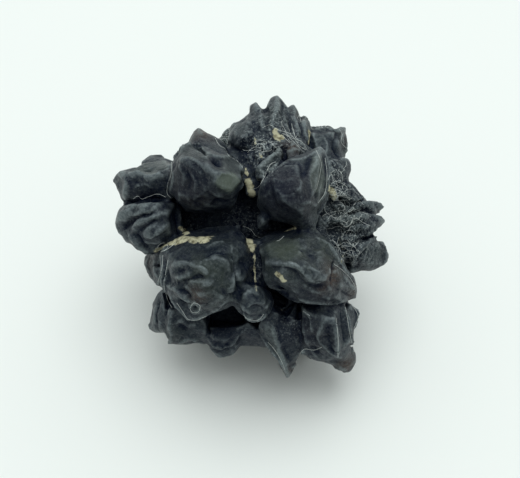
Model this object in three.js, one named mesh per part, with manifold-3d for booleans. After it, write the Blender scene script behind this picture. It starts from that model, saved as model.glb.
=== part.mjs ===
// A marcasite nodule: a fist-like cluster of crystals that grew out of one middle, each
// with flat crumpled faces and blunt points, with deep creases between them.
// Millimetres, +Z up. The origin lies on the ground, under the middle of the nodule.
import * as THREE from "three";
import { ConvexHull } from "three/addons/math/ConvexHull.js";
import { ImprovedNoise } from "three/addons/math/ImprovedNoise.js";
import { mergeVertices } from "three/addons/utils/BufferGeometryUtils.js";
import Module from "manifold-3d";

const wasm = await Module();
wasm.setup();

// Driving dimensions, mm and degrees.
const FACE_WIDTH = 55.2; // of the show face, between the tips at its left and right
const EYE_DISTANCE = 240; // from the nodule's middle to the eye that looks straight at the show face
const FACE_TILT = 50; // the show face looks up this far above the horizon
const REST_HEIGHT = 25.3; // the middle's height over the ground that the nodule rests on
const SWELL = { height: 0.6, length: 7, start: [3.1, -1.7, 5.3] }; // broad swells and dents
const WRINKLE = { height: 0.6, length: 4.2, start: [0, 0, 9.1] }; // crumpled ridges on the swells
const DRIFT = { height: 6.3, length: 7, start: [-8.3, 2.9, 0] }; // how far the ridges wander
const MEAN_CREST = 0.6; // of the wrinkles, whose sharp crests are at 1
const CRYSTAL_DETAIL = 12; // subdivisions of a crystal before the solid is thinned
const TRIANGLES = 9800; // of the thinned solid
const LEAST_AREA = 1e-4; // of a face that thinning may leave, mm2
const LEAST_COSINE = 0.25; // of the angle that thinning may turn a face by
const FARTHEST_PLACE = 1.5; // of a merged corner from its edge's middle, in edge lengths
const NO_AREA = 1e-12; // of a face that is too thin to have a plane
const NO_SOLUTION = 1e-9; // determinant of planes that have no one corner in common
const SAME_PLACE = 1e-4; // between vertices that are one, mm
const GROUND = 200; // side of the block of ground that trims the feet

// The frame of the show face starts at the nodule's middle: x to the right, y up the face, z
// out of it.
const core = { at: [0, 0, -7.5], half: [19, 19, 11] };

// A corner of a crystal is [across, down, out]. The eye sees it across and down a square grid
// on the plane of the nodule's middle, and it stands out of that plane by so many mm.
const STEPS_ACROSS = 276; // of the grid, in the width of the show face
const GRID_STEP = FACE_WIDTH / STEPS_ACROSS;
const GRID_MIDDLE = { across: 250, down: 236 }; // where the eye sees the nodule's middle

const crystals = [
  // the upper half of the show face
  { name: "upper left block", corners: [
    [171, 164, 12], [178, 152, 13], [190, 142, 13], [200, 142, 14], [243, 168, 14], [243, 182, 15],
    [183, 160, 19], [207, 165, 22], [215, 182, 22], [223, 173, 22], [240, 179, 18], [231, 192, 18.5],
    [169, 190, 12], [178, 200, 13], [190, 192, 18.5], [212, 197, 18.5], [205, 206, 14.5],
    [235, 203, 12], [182, 206, 11], [186, 213, 9], [230, 211, 9], [178, 158, 3], [238, 160, 3],
    [182, 172, -2], [235, 172, -2], [184, 208, -2], [232, 206, -2],
  ] },
  { name: "upper left shoulder", corners: [
    [199, 128.5, 8], [193, 134, 7.5], [206, 132.5, 8], [218, 140, 7], [224, 144, 5], [204, 148, 14],
    [192, 144, 12], [228, 155, 12], [200, 135, 0], [190, 150, 0], [225, 150, 0], [190, 165, -8],
    [228, 165, -8], [200, 150, 4], [188, 150, 5],
  ] },
  { name: "left corner crystal", corners: [
    [113, 180, 2], [116, 174, 3], [118, 190, 3], [127, 172, 7], [127, 194, 7], [131, 171, 4],
    [150, 164, 4], [172, 164, 8], [172, 172, 10.5], [150, 178, 10.5], [135, 174, 8.5], [124, 199, 6],
    [172, 200, 9], [125, 180, -6], [160, 175, -8], [160, 195, -6], [178, 165, -8], [180, 195, -4],
    [176, 175, 4], [178, 190, 3], [125, 207, 3], [160, 208, 5],
  ] },
  { name: "left hump", corners: [
    [142, 161, 0], [150, 155, -2], [160, 155, -2], [168, 159, 0], [150, 166, 3], [166, 166, 4],
    [155, 165, -10], [165, 172, -8], [140, 172, -5], [178, 172, -8], [175, 165, 0],
  ] },
  { name: "left lower knob", corners: [
    [120, 208, 5], [117, 218, 5], [116, 226, 4], [118, 234, 4], [123, 240, 4], [131, 244, 5],
    [137, 251, 4], [150, 256, 5], [125, 206, 7], [150, 201, 9], [167, 200, 9], [130, 214, 10],
    [150, 210, 12.5], [168, 214, 12], [150, 228, 12.5], [168, 232, 11], [135, 230, 10],
    [145, 243, 9], [160, 244, 9], [176, 203, 9], [175, 238, 8], [125, 225, -6], [160, 220, -8],
    [150, 245, -5], [180, 200, -4], [180, 240, -4], [176, 206, 3], [176, 236, 3], [128, 203, 1],
    [160, 198, 3],
  ] },
  { name: "crown, middle peak", corners: [
    [277, 93, -2], [272, 97, -2], [281, 99, -3], [264, 110, 1], [284, 108, 0], [262, 128, 6],
    [278, 128, 7.5], [290, 125, 4], [262, 140, 6], [280, 143, 7], [295, 138, 5], [275, 105, -10],
    [265, 130, -10], [290, 130, -10], [265, 150, -8], [290, 150, -8],
  ] },
  { name: "crown, left peak", corners: [
    [256, 101, -1], [250, 106, -2], [262, 110, 0], [245, 118, 1], [262, 128, 5.5], [248, 130, 5],
    [262, 139, 5], [255, 112, -9], [250, 130, -9], [262, 140, -8], [270, 130, -2],
  ] },
  { name: "crown, right peak", corners: [
    [294, 103, -3], [289, 106, -2], [300, 115, -2], [286, 118, 3], [300, 135, 4], [288, 141, 5],
    [294, 112, -9], [300, 130, -10], [285, 140, -8], [282, 130, -2],
  ] },
  { name: "crown, last peak", corners: [
    [305, 114, -3], [310, 121, -2], [310, 132, -1], [301, 125, 2], [306, 141, 3], [304, 125, -9],
    [300, 140, -4], [290, 140, -8], [292, 130, -2], [300, 150, 0],
  ] },
  { name: "crown, left shoulder", corners: [
    [228, 129, 1], [234, 122, 1], [244, 118, 1], [249, 122, 4], [236, 132, 6], [252, 132, 6.5],
    [243, 138, 8.5], [249, 149, 7], [236, 149, 6], [228, 141, 4], [235, 130, -8], [248, 125, -9],
    [240, 150, -8], [262, 140, -6], [258, 130, 0],
  ] },
  { name: "upper right slab", corners: [
    [255, 175, 13], [258, 181, 13], [262, 163, 12], [279, 151, 11], [284, 156, 12], [269, 171, 15],
    [262, 178, 15], [258, 172, 3], [280, 158, 3], [272, 175, 3],
  ] },
  { name: "brown knob", corners: [
    [285, 146, 7.5], [293, 141, 7.5], [301, 146, 7], [300, 158, 10], [287, 160, 11.5],
    [292, 150, 10.5], [292, 152, 0],
  ] },
  { name: "upper right block", corners: [
    [320, 147, 11], [325, 150, 10], [313, 149, 11], [327, 160, 10], [328, 180, 11], [327, 198, 10],
    [317, 206, 12], [314, 228, 13], [315, 165, 15.5], [312, 180, 18], [308, 198, 19.5],
    [300, 162, 14.5], [283, 160, 14], [270, 166, 14], [262, 180, 15.5], [257, 192, 14.5],
    [256, 205, 12.5], [297, 185, 20.5], [280, 180, 19], [283, 200, 20], [300, 210, 19.5],
    [270, 205, 17], [262, 215, 11], [280, 222, 13], [300, 228, 13.5], [285, 165, 3], [320, 160, 3],
    [320, 200, 3], [265, 195, 3], [300, 222, 5],
  ] },
  { name: "top right crystal", corners: [
    [312, 128, -3], [321, 126, -4], [331, 125, -5], [337, 130, -3], [313, 134, 1], [330, 134, 1],
    [338, 140, 0], [336, 156, 2], [318, 156, 3], [328, 161, 3], [325, 132, -13], [338, 150, -12],
    [318, 150, -10], [305, 160, -8], [325, 172, -8], [308, 150, 0], [312, 165, 1],
  ] },
  { name: "top right edge", corners: [
    [337, 130, -2], [342, 124, -5], [346, 126, -5], [346, 138, -5], [338, 145, 0], [338, 158, 1],
    [346, 152, -4], [349, 145, -5], [344, 160, -2], [340, 140, -12], [325, 140, -8], [330, 165, -8],
    [328, 140, -2], [330, 158, -1],
  ] },
  // the right flank
  { name: "right flank, top", corners: [
    [330, 158, 3], [347, 159, 0], [350, 168, 0], [350, 179, 0], [336, 168, 5], [328, 162, 6],
    [328, 186, 8], [340, 186, 4], [335, 165, -9], [340, 180, -8], [318, 165, -8], [320, 190, -6],
    [318, 178, 4], [325, 160, 0],
  ] },
  { name: "right flank, middle", corners: [
    [340, 178, 2], [353, 184, 0], [357, 191, 0], [364, 196, -1], [368, 201, -1], [350, 198, 5],
    [336, 188, 7], [329, 195, 8], [345, 208, 5], [350, 190, -9], [360, 205, -8], [335, 200, -5],
    [320, 185, -8], [320, 210, -6], [325, 195, 4],
  ] },
  { name: "right upper spur", corners: [
    [384, 207, -2], [378, 203, -2], [366, 202, -1], [381, 213, -3], [372, 214, 0], [355, 204, 4],
    [345, 208, 6], [360, 213, 3.5], [330, 205, 8.5], [350, 220, 3], [365, 207, -9], [350, 215, -8],
    [322, 205, -6], [328, 220, -8],
  ] },
  { name: "right middle spur", corners: [
    [386, 221, -2], [379, 218, -2], [381, 228, -2.5], [374, 233, -1], [362, 214, 3.5],
    [350, 214, 5.5], [366, 228, 4.5], [345, 228, 6.5], [332, 220, 8], [350, 240, 4],
    [370, 222, -9], [350, 228, -8], [322, 215, -8], [322, 238, -6],
  ] },
  { name: "right lower spur", corners: [
    [377, 236, -1], [383, 245, -2], [388, 254, -2], [386, 262, -2], [381, 266, -2], [368, 269, -1],
    [355, 272, -1], [352, 273, 0], [366, 245, 4.5], [357, 258, 5.5], [359, 268, 2], [350, 250, 6.5],
    [345, 240, 7], [343, 255, 6], [340, 235, 7.5], [375, 250, -10], [355, 250, -10],
    [360, 265, -8], [325, 245, -9], [325, 262, -6], [332, 258, 0],
  ] },
  // the lower half of the show face
  { name: "front left block", corners: [
    [164, 248, 12], [185, 244, 14.5], [207, 242, 16], [225, 241, 16], [238, 243, 15], [178, 235, 9],
    [212, 226, 9], [240, 225, 9], [160, 256, 10], [162, 270, 12], [159, 287, 11], [168, 300, 13],
    [175, 308, 13], [186, 320, 13], [197, 320, 14], [206, 314, 14.5], [216, 306, 15.5],
    [224, 301, 15.5], [239, 300, 15], [175, 262, 18.5], [200, 262, 21.5], [215, 255, 21],
    [228, 262, 21], [234, 275, 20.5], [233, 292, 19.5], [205, 280, 22.5], [180, 282, 19],
    [178, 298, 17], [200, 302, 19.5], [220, 298, 20], [252, 262, 13.5], [254, 280, 13.5],
    [250, 245, 13], [170, 255, 3], [235, 250, 3], [235, 298, 3], [180, 305, 3],
  ] },
  { name: "front middle knob", corners: [
    [232, 286, 18], [246, 284, 17], [258, 288, 16], [271, 300, 14.5], [270, 310, 13.5],
    [262, 319, 13], [250, 321, 13], [241, 314, 14], [234, 302, 15.5], [246, 298, 18.5],
    [262, 303, 17], [250, 313, 17], [232, 290, 14], [238, 314, 11], [272, 290, 12], [272, 306, 11],
    [245, 290, 5], [262, 295, 5], [255, 312, 5],
  ] },
  { name: "front right block", corners: [
    [258, 244, 14], [262, 238, 12.5], [275, 234, 12], [292, 231, 12], [312, 229, 12.5],
    [325, 236, 12], [335, 246, 12], [341, 257, 12], [347, 268, 11], [352, 276, 10], [356, 282, 9],
    [358, 291, 8], [356, 298, 7.5], [350, 302, 8], [262, 262, 20], [275, 265, 21.5],
    [290, 263, 22], [299, 267, 22], [310, 277, 21], [326, 279, 19], [300, 248, 18.5],
    [280, 248, 18], [322, 255, 16.5], [333, 270, 16], [343, 284, 13.5], [265, 280, 17],
    [290, 288, 18], [315, 296, 17.5], [335, 298, 14.5], [345, 303, 10], [300, 305, 14],
    [320, 305, 13.5], [272, 290, 15], [265, 250, 4], [330, 245, 3], [340, 290, 1], [280, 290, 5],
    [265, 232, 6], [305, 226, 6],
  ] },
  { name: "lower right block", corners: [
    [300, 312, 12], [320, 306, 12.5], [338, 305, 11.5], [325, 320, 15.5], [335, 318, 15],
    [338, 335, 14], [338, 357, 10], [322, 361, 6.5], [311, 361, 6.5], [301, 355, 7.5],
    [303, 335, 12], [310, 320, -4], [335, 320, -5], [335, 350, -5], [305, 350, -4],
    [304, 296, 9], [338, 295, 8],
  ] },
  { name: "lower right side", corners: [
    [334, 310, 12.5], [346, 305, 9], [349, 325, 9.5], [335, 345, 12.5], [347, 345, 9.5],
    [352, 340, 5.5], [353, 330, 5], [342, 303, 9], [340, 362, 8], [345, 320, -5], [348, 345, -5],
    [320, 315, -4], [320, 345, -4], [325, 320, 4],
  ] },
  { name: "right edge crystal", corners: [
    [350, 303, 5], [356, 309, 4], [359, 316, 3], [356, 326, 4], [350, 330, 7], [346, 315, 9],
    [348, 315, -6], [350, 325, -5], [340, 310, 2], [325, 312, -6], [325, 330, -6],
  ] },
  { name: "lower right corner", corners: [
    [338, 350, 11], [320, 360, 7], [333, 366, 5], [343, 371, 3], [349, 370, 2.5], [353, 362, 3],
    [355, 351, 3.5], [350, 344, 7], [345, 355, 8], [340, 355, -5], [350, 360, -4], [325, 350, -4],
  ] },
  { name: "lower spike", corners: [
    [287, 377, 2], [284, 373, 3], [293, 370, 3], [275, 353, 6], [264, 340, 8], [258, 326, 10],
    [262, 319, 11.5], [275, 314, 11.5], [290, 312, 11], [300, 320, 11], [302, 340, 9],
    [301, 352, 6.5], [295, 363, 4.5], [270, 330, 11.5], [282, 358, 8], [286, 345, 10],
    [270, 335, -4], [290, 350, -5], [285, 325, 0], [272, 298, 8], [298, 302, 8],
  ] },
  { name: "lower bump", corners: [
    [299, 360, 5], [304, 368, 2.5], [309, 368, 2.5], [313, 362, 4], [306, 358, 6], [306, 356, -5],
  ] },
  { name: "lower hollow", corners: [
    [205, 285, 3], [265, 290, 3], [300, 300, 6], [205, 320, 1], [235, 328, 1], [275, 330, 4],
    [305, 325, 5], [225, 285, -6], [280, 295, -6],
  ] },
  { name: "lower left leaf", corners: [
    [163, 286, 5], [157, 295, 4], [152, 306, 3], [149, 320, 1], [149, 330, 1], [153, 334, 1.5],
    [161, 335, 3], [166, 331, 5], [166, 310, 7.5], [163, 298, 7], [157, 315, 6], [158, 300, -7],
    [160, 325, -5], [178, 300, -6], [178, 322, -4], [172, 300, 2], [172, 322, 2],
  ] },
  { name: "lower left crystal", corners: [
    [168, 308, 9], [178, 312, 10], [170, 325, 8.5], [166, 333, 5], [167, 344, 3], [172, 346, 3],
    [180, 343, 4.5], [200, 344, 4.5], [207, 345, 4], [205, 333, 8], [195, 325, 9], [180, 322, 9.5],
    [203, 318, 9], [175, 320, -5], [200, 330, -5], [178, 305, -6], [208, 305, -6], [190, 325, -6],
    [210, 325, 2], [210, 315, 4],
  ] },
  { name: "lower middle crystal", corners: [
    [204, 336, 6.5], [206, 345, 4], [213, 351, 3], [219, 356, 2.5], [224, 356, 2.5], [232, 353, 3],
    [240, 344, 4], [245, 325, 9.5], [235, 328, 9], [215, 334, 9], [225, 340, 8.5], [220, 335, -6],
    [240, 335, -5], [212, 315, -5], [245, 315, -5], [212, 325, 4], [245, 330, 4],
  ] },
  { name: "lower middle ridge", corners: [
    [240, 345, 4], [250, 340, 4], [262, 345, 4], [268, 349, 4], [247, 322, 9.5], [238, 334, 8],
    [250, 330, 8.5], [262, 333, 8], [270, 340, 7], [250, 335, -6], [265, 340, -5], [245, 310, -5],
    [270, 315, -5],
  ] },
  { name: "left rear crystal", corners: [
    [144, 256, -2], [142, 263, -2], [146, 271, -1], [150, 252, 0], [160, 248, 4], [160, 262, 4],
    [155, 270, 3], [155, 255, -9], [158, 270, -8], [165, 260, 0], [178, 250, -5], [178, 275, -5],
    [168, 252, 0], [172, 246, 3],
  ] },
  { name: "left rear point", corners: [
    [145, 270, -2], [149, 279, -2], [157, 287, 1], [161, 281, 5], [160, 266, 5], [152, 268, 3],
    [158, 275, -8], [165, 275, 0], [180, 270, -8], [180, 292, -4], [170, 285, 1],
  ] },
  // what joins them
  { name: "left seam", corners: [
    [160, 265, 6], [160, 196, 5], [180, 190, 7], [178, 225, 6], [184, 262, 7], [180, 236, -4],
  ] },
  { name: "crown's body", corners: [
    [240, 119, 0], [257, 109, 0], [285, 105, -1], [302, 118, -2], [308, 135, -1], [262, 122, 4.5],
    [285, 125, 5], [246, 135, 5], [265, 150, 8.5], [288, 148, 8.5], [306, 150, 6], [250, 128, -12],
    [300, 128, -12], [275, 116, -12], [250, 165, -8], [300, 165, -8],
  ] },
  { name: "upper saddle", corners: [
    [222, 150, 4], [262, 155, 8.5], [305, 155, 7], [316, 150, 3], [320, 162, 4], [243, 162, 5.5],
    [262, 175, 9], [300, 175, 8], [246, 195, 9.5], [256, 195, 9.5], [235, 160, -5],
    [305, 160, -5], [250, 200, -2], [240, 140, 3], [300, 140, 4], [262, 143, 7], [288, 143, 7],
  ] },
  { name: "crevice crystal", corners: [
    [256, 216, 11], [263, 212, 11.5], [270, 220, 11], [270, 230, 10.5], [258, 230, 11],
    [263, 222, 13], [263, 222, 1],
  ] },
  { name: "right seam", corners: [
    [315, 166, 4], [340, 196, 4], [325, 221, 8], [342, 261, 6], [310, 251, 9], [305, 211, 8],
    [310, 216, -4], [340, 236, -6],
  ] },
  { name: "lower right seam", corners: [
    [280, 296, 8], [340, 296, 6], [350, 291, 2], [270, 336, 5], [345, 331, 3], [310, 296, -6],
    [310, 341, -3],
  ] },
  { name: "under seam", corners: [
    [180, 291, -6], [320, 296, -6], [210, 326, -6], [290, 331, -6], [195, 256, -16],
    [305, 256, -16], [250, 216, -20], [250, 256, -20], [225, 296, -14], [275, 296, -14],
  ] },
  { name: "lower left seam", corners: [
    [165, 271, 5], [175, 301, 8], [165, 321, 1], [210, 321, 6], [210, 276, 9], [190, 296, -6],
  ] },
  { name: "middle seam", corners: [
    [246, 238, 12], [264, 238, 11.5], [252, 262, 12.5], [262, 262, 13], [257, 290, 13.5],
    [268, 296, 12], [240, 300, 13], [250, 240, 2], [260, 295, 2],
  ] },
];

// The crystals round the back and below have the same habits: each is one of those above,
// turned about the nodule's middle until its own middle is at a place, and spun there.
const moreCrystals = [
  { name: "left rear ring", like: "upper left block", at: [-16.5, 6, -9.5], spin: 40 },
  { name: "upper left rear ring", like: "left lower knob", at: [-8.5, 9.5, -12.5], spin: 200 },
  { name: "upper rear ring", like: "front right block", at: [4, 14, -13], spin: 130 },
  { name: "right upper rear ring", like: "left lower knob", at: [14, 11, -11], spin: 70 },
  { name: "right rear ring", like: "upper right block", at: [16, -3, -12], spin: 160 },
  { name: "left lower rear ring", like: "right lower spur", at: [-16.5, -6, -11], spin: 100 },
  { name: "back, left", like: "front left block", at: [-8, 5, -18.5], spin: 60 },
  { name: "back, right", like: "upper right block", at: [6.5, 4.5, -19], spin: 250 },
  { name: "left foot", like: "left lower knob", at: [-10.5, -15.4, -12.6], spin: 300 },
  { name: "right foot", like: "left corner crystal", at: [12, -16.8, -11.6], spin: 120 },
  { name: "rear foot", like: "left lower knob", at: [0, -5, -21], spin: 100 },
  { name: "belly", like: "front middle knob", at: [1, -16, -10], spin: 0 },
];

const noise = new ImprovedNoise();

function noiseAt({ x, y, z }, { length, start }) {
  return noise.noise(x / length + start[0], y / length + start[1], z / length + start[2]);
}

// The surface's own relief at a place: broad swells under sharp-crested wrinkles, mm.
function relief(place) {
  const drift = DRIFT.height * noiseAt(place, DRIFT);
  const wandered = place.clone().add(new THREE.Vector3(drift, -drift, 0));
  const crest = 1 - 2 * Math.abs(noiseAt(wandered, WRINKLE));
  return SWELL.height * noiseAt(place, SWELL) + WRINKLE.height * (crest - MEAN_CREST);
}

function merged(geometry) {
  geometry.deleteAttribute("normal");
  geometry.deleteAttribute("uv");
  return mergeVertices(geometry, SAME_PLACE);
}

function solid(geometry) {
  const mesh = new wasm.Mesh({
    numProp: 3,
    vertProperties: geometry.attributes.position.array,
    triVerts: new Uint32Array(geometry.index.array),
  });
  return new wasm.Manifold(mesh);
}

// The place of a crystal's corner in the frame of the show face. What stands nearer to the eye
// looks larger, so a step of the grid is less there.
function cornerPlace([across, down, out]) {
  const step = GRID_STEP * (1 - out / EYE_DISTANCE);
  return new THREE.Vector3((across - GRID_MIDDLE.across) * step, (GRID_MIDDLE.down - down) * step, out);
}

const middleOf = (corners) =>
  corners.reduce((sum, corner) => sum.add(corner), new THREE.Vector3()).divideScalar(corners.length);

// A crystal's surface runs out from its middle to its flat faces, and its relief is on them.
function crystalSolid(corners) {
  const middle = middleOf(corners);
  const { faces } = new ConvexHull().setFromPoints(corners);
  const reach = (direction) => {
    let least = Infinity;
    for (const { normal, constant } of faces) {
      const facing = normal.dot(direction);
      const distance = (constant - normal.dot(middle)) / facing;
      if (facing > 0) least = Math.min(least, distance);
    }
    return least;
  };
  const geometry = merged(new THREE.IcosahedronGeometry(1, CRYSTAL_DETAIL));
  const place = geometry.attributes.position;
  const directions = [];
  for (let i = 0; i < place.count; i++) {
    directions.push(new THREE.Vector3().fromBufferAttribute(place, i).normalize());
  }
  // each corner is met by the surface's vertex that is nearest to it
  for (const corner of corners) {
    const towards = corner.clone().sub(middle).normalize();
    directions.reduce((best, d) => (d.dot(towards) > best.dot(towards) ? d : best)).copy(towards);
  }
  directions.forEach((direction, i) => {
    const p = direction.clone().multiplyScalar(reach(direction)).add(middle);
    p.addScaledVector(direction, relief(p));
    place.setXYZ(i, p.x, p.y, p.z);
  });
  return solid(geometry);
}

// The corners of a crystal above, turned, moved and spun to its place round the back.
function placedCorners({ like, at, spin }) {
  const corners = crystals.find(({ name }) => name === like).corners.map(cornerPlace);
  const from = middleOf(corners);
  const to = new THREE.Vector3(...at);
  const outward = to.clone().normalize();
  const turn = new THREE.Quaternion().setFromUnitVectors(from.clone().normalize(), outward);
  const spun = new THREE.Quaternion().setFromAxisAngle(outward, THREE.MathUtils.degToRad(spin));
  turn.premultiply(spun);
  return corners.map((corner) => corner.sub(from).applyQuaternion(turn).add(to));
}

// The round mass that the crystals grew on.
function coreSolid() {
  const ball = merged(new THREE.IcosahedronGeometry(1, CRYSTAL_DETAIL));
  ball.scale(...core.half).translate(...core.at);
  const place = ball.attributes.position;
  for (let i = 0; i < place.count; i++) {
    const p = new THREE.Vector3().fromBufferAttribute(place, i);
    p.addScaledVector(p.clone().normalize(), relief(p));
    place.setXYZ(i, p.x, p.y, p.z);
  }
  return solid(ball);
}

// The triangles of a mesh's outer surface, without the bubbles closed in between crystals.
function outerTriangles(positions, indices) {
  const group = Array.from({ length: positions.length / 3 }, (_, i) => i);
  const first = (i) => {
    while (group[i] !== i) {
      group[i] = group[group[i]];
      i = group[i];
    }
    return i;
  };
  for (let i = 0; i < indices.length; i += 3) {
    group[first(indices[i + 1])] = first(indices[i]);
    group[first(indices[i + 2])] = first(indices[i]);
  }
  let rightmost = 0;
  for (let i = 0; i < group.length; i++) {
    if (positions[3 * i] > positions[3 * rightmost]) rightmost = i;
  }
  const outer = first(rightmost);
  const kept = [];
  for (let i = 0; i < indices.length; i += 3) {
    if (first(indices[i]) === outer) kept.push(...indices.subarray(i, i + 3));
  }
  return kept;
}

// The error of putting a corner at p, from the planes of the faces that met there: a symmetric
// 4 x 4 matrix as its 10 numbers.
const QUADRIC = 10;
function planeQuadric(a, b, c) {
  const n = b.clone().sub(a).cross(c.clone().sub(a));
  const weight = n.length() / 2;
  if (weight < NO_AREA) return new Array(QUADRIC).fill(0);
  n.normalize();
  const d = -n.dot(a);
  const plane = [n.x, n.y, n.z, d];
  const q = plane.flatMap((v, row) => plane.slice(row).map((w) => v * w));
  return q.map((v) => v * weight);
}

function quadricError(q, { x, y, z }) {
  return (
    q[0] * x * x + 2 * q[1] * x * y + 2 * q[2] * x * z + 2 * q[3] * x +
    q[4] * y * y + 2 * q[5] * y * z + 2 * q[6] * y + q[7] * z * z + 2 * q[8] * z + q[9]
  );
}

// The place with the least error on an edge, out of its ends, its middle and the exact solution.
function bestPlace(q, a, b) {
  const choices = [a, b, a.clone().add(b).multiplyScalar(0.5)];
  const m = new THREE.Matrix3().set(q[0], q[1], q[2], q[1], q[4], q[5], q[2], q[5], q[7]);
  if (Math.abs(m.determinant()) > NO_SOLUTION) {
    const exact = new THREE.Vector3(-q[3], -q[6], -q[8]).applyMatrix3(m.invert());
    const farthest = FARTHEST_PLACE * a.distanceTo(b);
    if (exact.distanceTo(choices[2]) < farthest) choices.push(exact);
  }
  let best = choices[0];
  for (const c of choices) {
    if (quadricError(q, c) < quadricError(q, best)) best = c;
  }
  return { place: best, error: quadricError(q, best) };
}

// A binary heap of edges, the one with the least error first.
class Heap {
  items = [];
  push(item) {
    const list = this.items;
    let i = list.push(item) - 1;
    while (i > 0 && list[(i - 1) >> 1].error > item.error) {
      list[i] = list[(i - 1) >> 1];
      i = (i - 1) >> 1;
    }
    list[i] = item;
  }
  pop() {
    const list = this.items;
    const top = list[0];
    const last = list.pop();
    if (!list.length) return top;
    let i = 0;
    for (;;) {
      let child = 2 * i + 1;
      if (child >= list.length) break;
      if (child + 1 < list.length && list[child + 1].error < list[child].error) child++;
      if (list[child].error >= last.error) break;
      list[i] = list[child];
      i = child;
    }
    list[i] = last;
    return top;
  }
}

// Thins a closed mesh by merging the two ends of the edge that changes its shape least, over
// and over until it has as few faces as wanted.
function thinned(positions, indices, wanted) {
  const corners = [];
  for (let i = 0; i < positions.length; i += 3) {
    corners.push(new THREE.Vector3().fromArray(positions, i));
  }
  const faces = [];
  const around = corners.map(() => new Set());
  const quadrics = corners.map(() => new Array(QUADRIC).fill(0));
  for (let i = 0; i < indices.length; i += 3) {
    const face = [indices[i], indices[i + 1], indices[i + 2]];
    const q = planeQuadric(...face.map((c) => corners[c]));
    for (const c of face) {
      around[c].add(faces.length);
      quadrics[c] = quadrics[c].map((v, k) => v + q[k]);
    }
    faces.push(face);
  }
  const version = corners.map(() => 0);
  const heap = new Heap();
  const neighbours = (c) => {
    const found = new Set();
    for (const f of around[c]) {
      for (const other of faces[f]) found.add(other);
    }
    found.delete(c);
    return found;
  };
  const offer = (a, b) => {
    const q = quadrics[a].map((v, k) => v + quadrics[b][k]);
    const { place, error } = bestPlace(q, corners[a], corners[b]);
    heap.push({ a, b, place, error, stamp: version[a] + version[b] });
  };
  const turnsOver = (corner, partner, place) => {
    for (const f of around[corner]) {
      if (faces[f].includes(partner)) continue;
      const [p, q, r] = faces[f].map((c) => corners[c]);
      const [pp, qq, rr] = faces[f].map((c) => (c === corner ? place : corners[c]));
      const before = q.clone().sub(p).cross(r.clone().sub(p));
      const after = qq.clone().sub(pp).cross(rr.clone().sub(pp));
      const kept = before.dot(after) / (before.length() * after.length());
      if (after.length() < LEAST_AREA || kept < LEAST_COSINE) return true;
    }
    return false;
  };
  corners.forEach((_, a) => {
    for (const b of neighbours(a)) {
      if (a < b) offer(a, b);
    }
  });
  let left = faces.length;
  while (left > wanted && heap.items.length) {
    const { a, b, place, stamp } = heap.pop();
    if (!around[a].size || !around[b].size || stamp !== version[a] + version[b]) continue;
    const near = neighbours(b);
    if (!near.has(a)) continue;
    const shared = [...neighbours(a)].filter((c) => near.has(c));
    if (shared.length !== 2 || turnsOver(a, b, place) || turnsOver(b, a, place)) continue;
    for (const f of [...around[b]]) {
      if (faces[f].includes(a)) {
        for (const c of faces[f]) around[c].delete(f);
        left--;
      } else {
        faces[f] = faces[f].map((c) => (c === b ? a : c));
        around[b].delete(f);
        around[a].add(f);
      }
    }
    corners[a] = place;
    quadrics[a] = quadrics[a].map((v, k) => v + quadrics[b][k]);
    version[a] += version[b] + 1;
    for (const c of neighbours(a)) offer(a, c);
  }
  const kept = new Set();
  around.forEach((own) => own.forEach((f) => kept.add(f)));
  return { corners, faces: [...kept].map((f) => faces[f]) };
}

// The solid of a closed mesh's corners and faces.
function solidOfFaces({ corners, faces }) {
  const geometry = new THREE.BufferGeometry().setFromPoints(corners);
  geometry.setIndex(faces.flat());
  return solid(geometry);
}

// Everything below the ground, which the feet have worn flat against.
function groundSolid() {
  const ground = merged(new THREE.BoxGeometry(GROUND, GROUND, GROUND));
  ground.translate(0, 0, -GROUND / 2);
  return solid(ground);
}

function noduleGeometry() {
  let body = coreSolid();
  for (const { corners } of crystals) body = body.add(crystalSolid(corners.map(cornerPlace)));
  for (const copy of moreCrystals) body = body.add(crystalSolid(placedCorners(copy)));
  const whole = body.getMesh();
  const outside = outerTriangles(whole.vertProperties, whole.triVerts);
  const thin = thinned(whole.vertProperties, outside, TRIANGLES);
  // the face frame's z leans up from the horizon by FACE_TILT
  const lean = new THREE.Matrix4().makeRotationX(THREE.MathUtils.degToRad(90 - FACE_TILT));
  for (const corner of thin.corners) corner.applyMatrix4(lean).z += REST_HEIGHT;
  const rested = solidOfFaces(thin).subtract(groundSolid()).getMesh();
  const geometry = new THREE.BufferGeometry();
  geometry.setAttribute("position", new THREE.BufferAttribute(rested.vertProperties, 3));
  geometry.setIndex(new THREE.BufferAttribute(rested.triVerts, 1));
  geometry.computeBoundingBox();
  return geometry;
}

const marcasite = new THREE.MeshStandardMaterial({ color: 0x23262b, roughness: 0.4, metalness: 0.2 });
const nodule = new THREE.Mesh(noduleGeometry(), marcasite);
nodule.name = "nodule";
// the origin lies under the middle of the nodule's box
const { x, y } = nodule.geometry.boundingBox.getCenter(new THREE.Vector3());
nodule.position.set(-x, -y, 0);

const part = new THREE.Group();
part.add(nodule);
export default part;
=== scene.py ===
import math
import random

import bmesh
import bpy
import numpy as np
from mathutils import Matrix, Vector, noise
from mathutils.bvhtree import BVHTree
from mathutils.kdtree import KDTree


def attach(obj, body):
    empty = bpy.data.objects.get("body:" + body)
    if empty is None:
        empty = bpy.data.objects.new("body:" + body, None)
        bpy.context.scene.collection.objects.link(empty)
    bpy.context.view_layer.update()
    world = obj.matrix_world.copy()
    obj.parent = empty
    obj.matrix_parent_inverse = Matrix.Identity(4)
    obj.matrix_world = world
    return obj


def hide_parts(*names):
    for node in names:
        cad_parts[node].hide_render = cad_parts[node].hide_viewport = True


MM = 0.001

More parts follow.
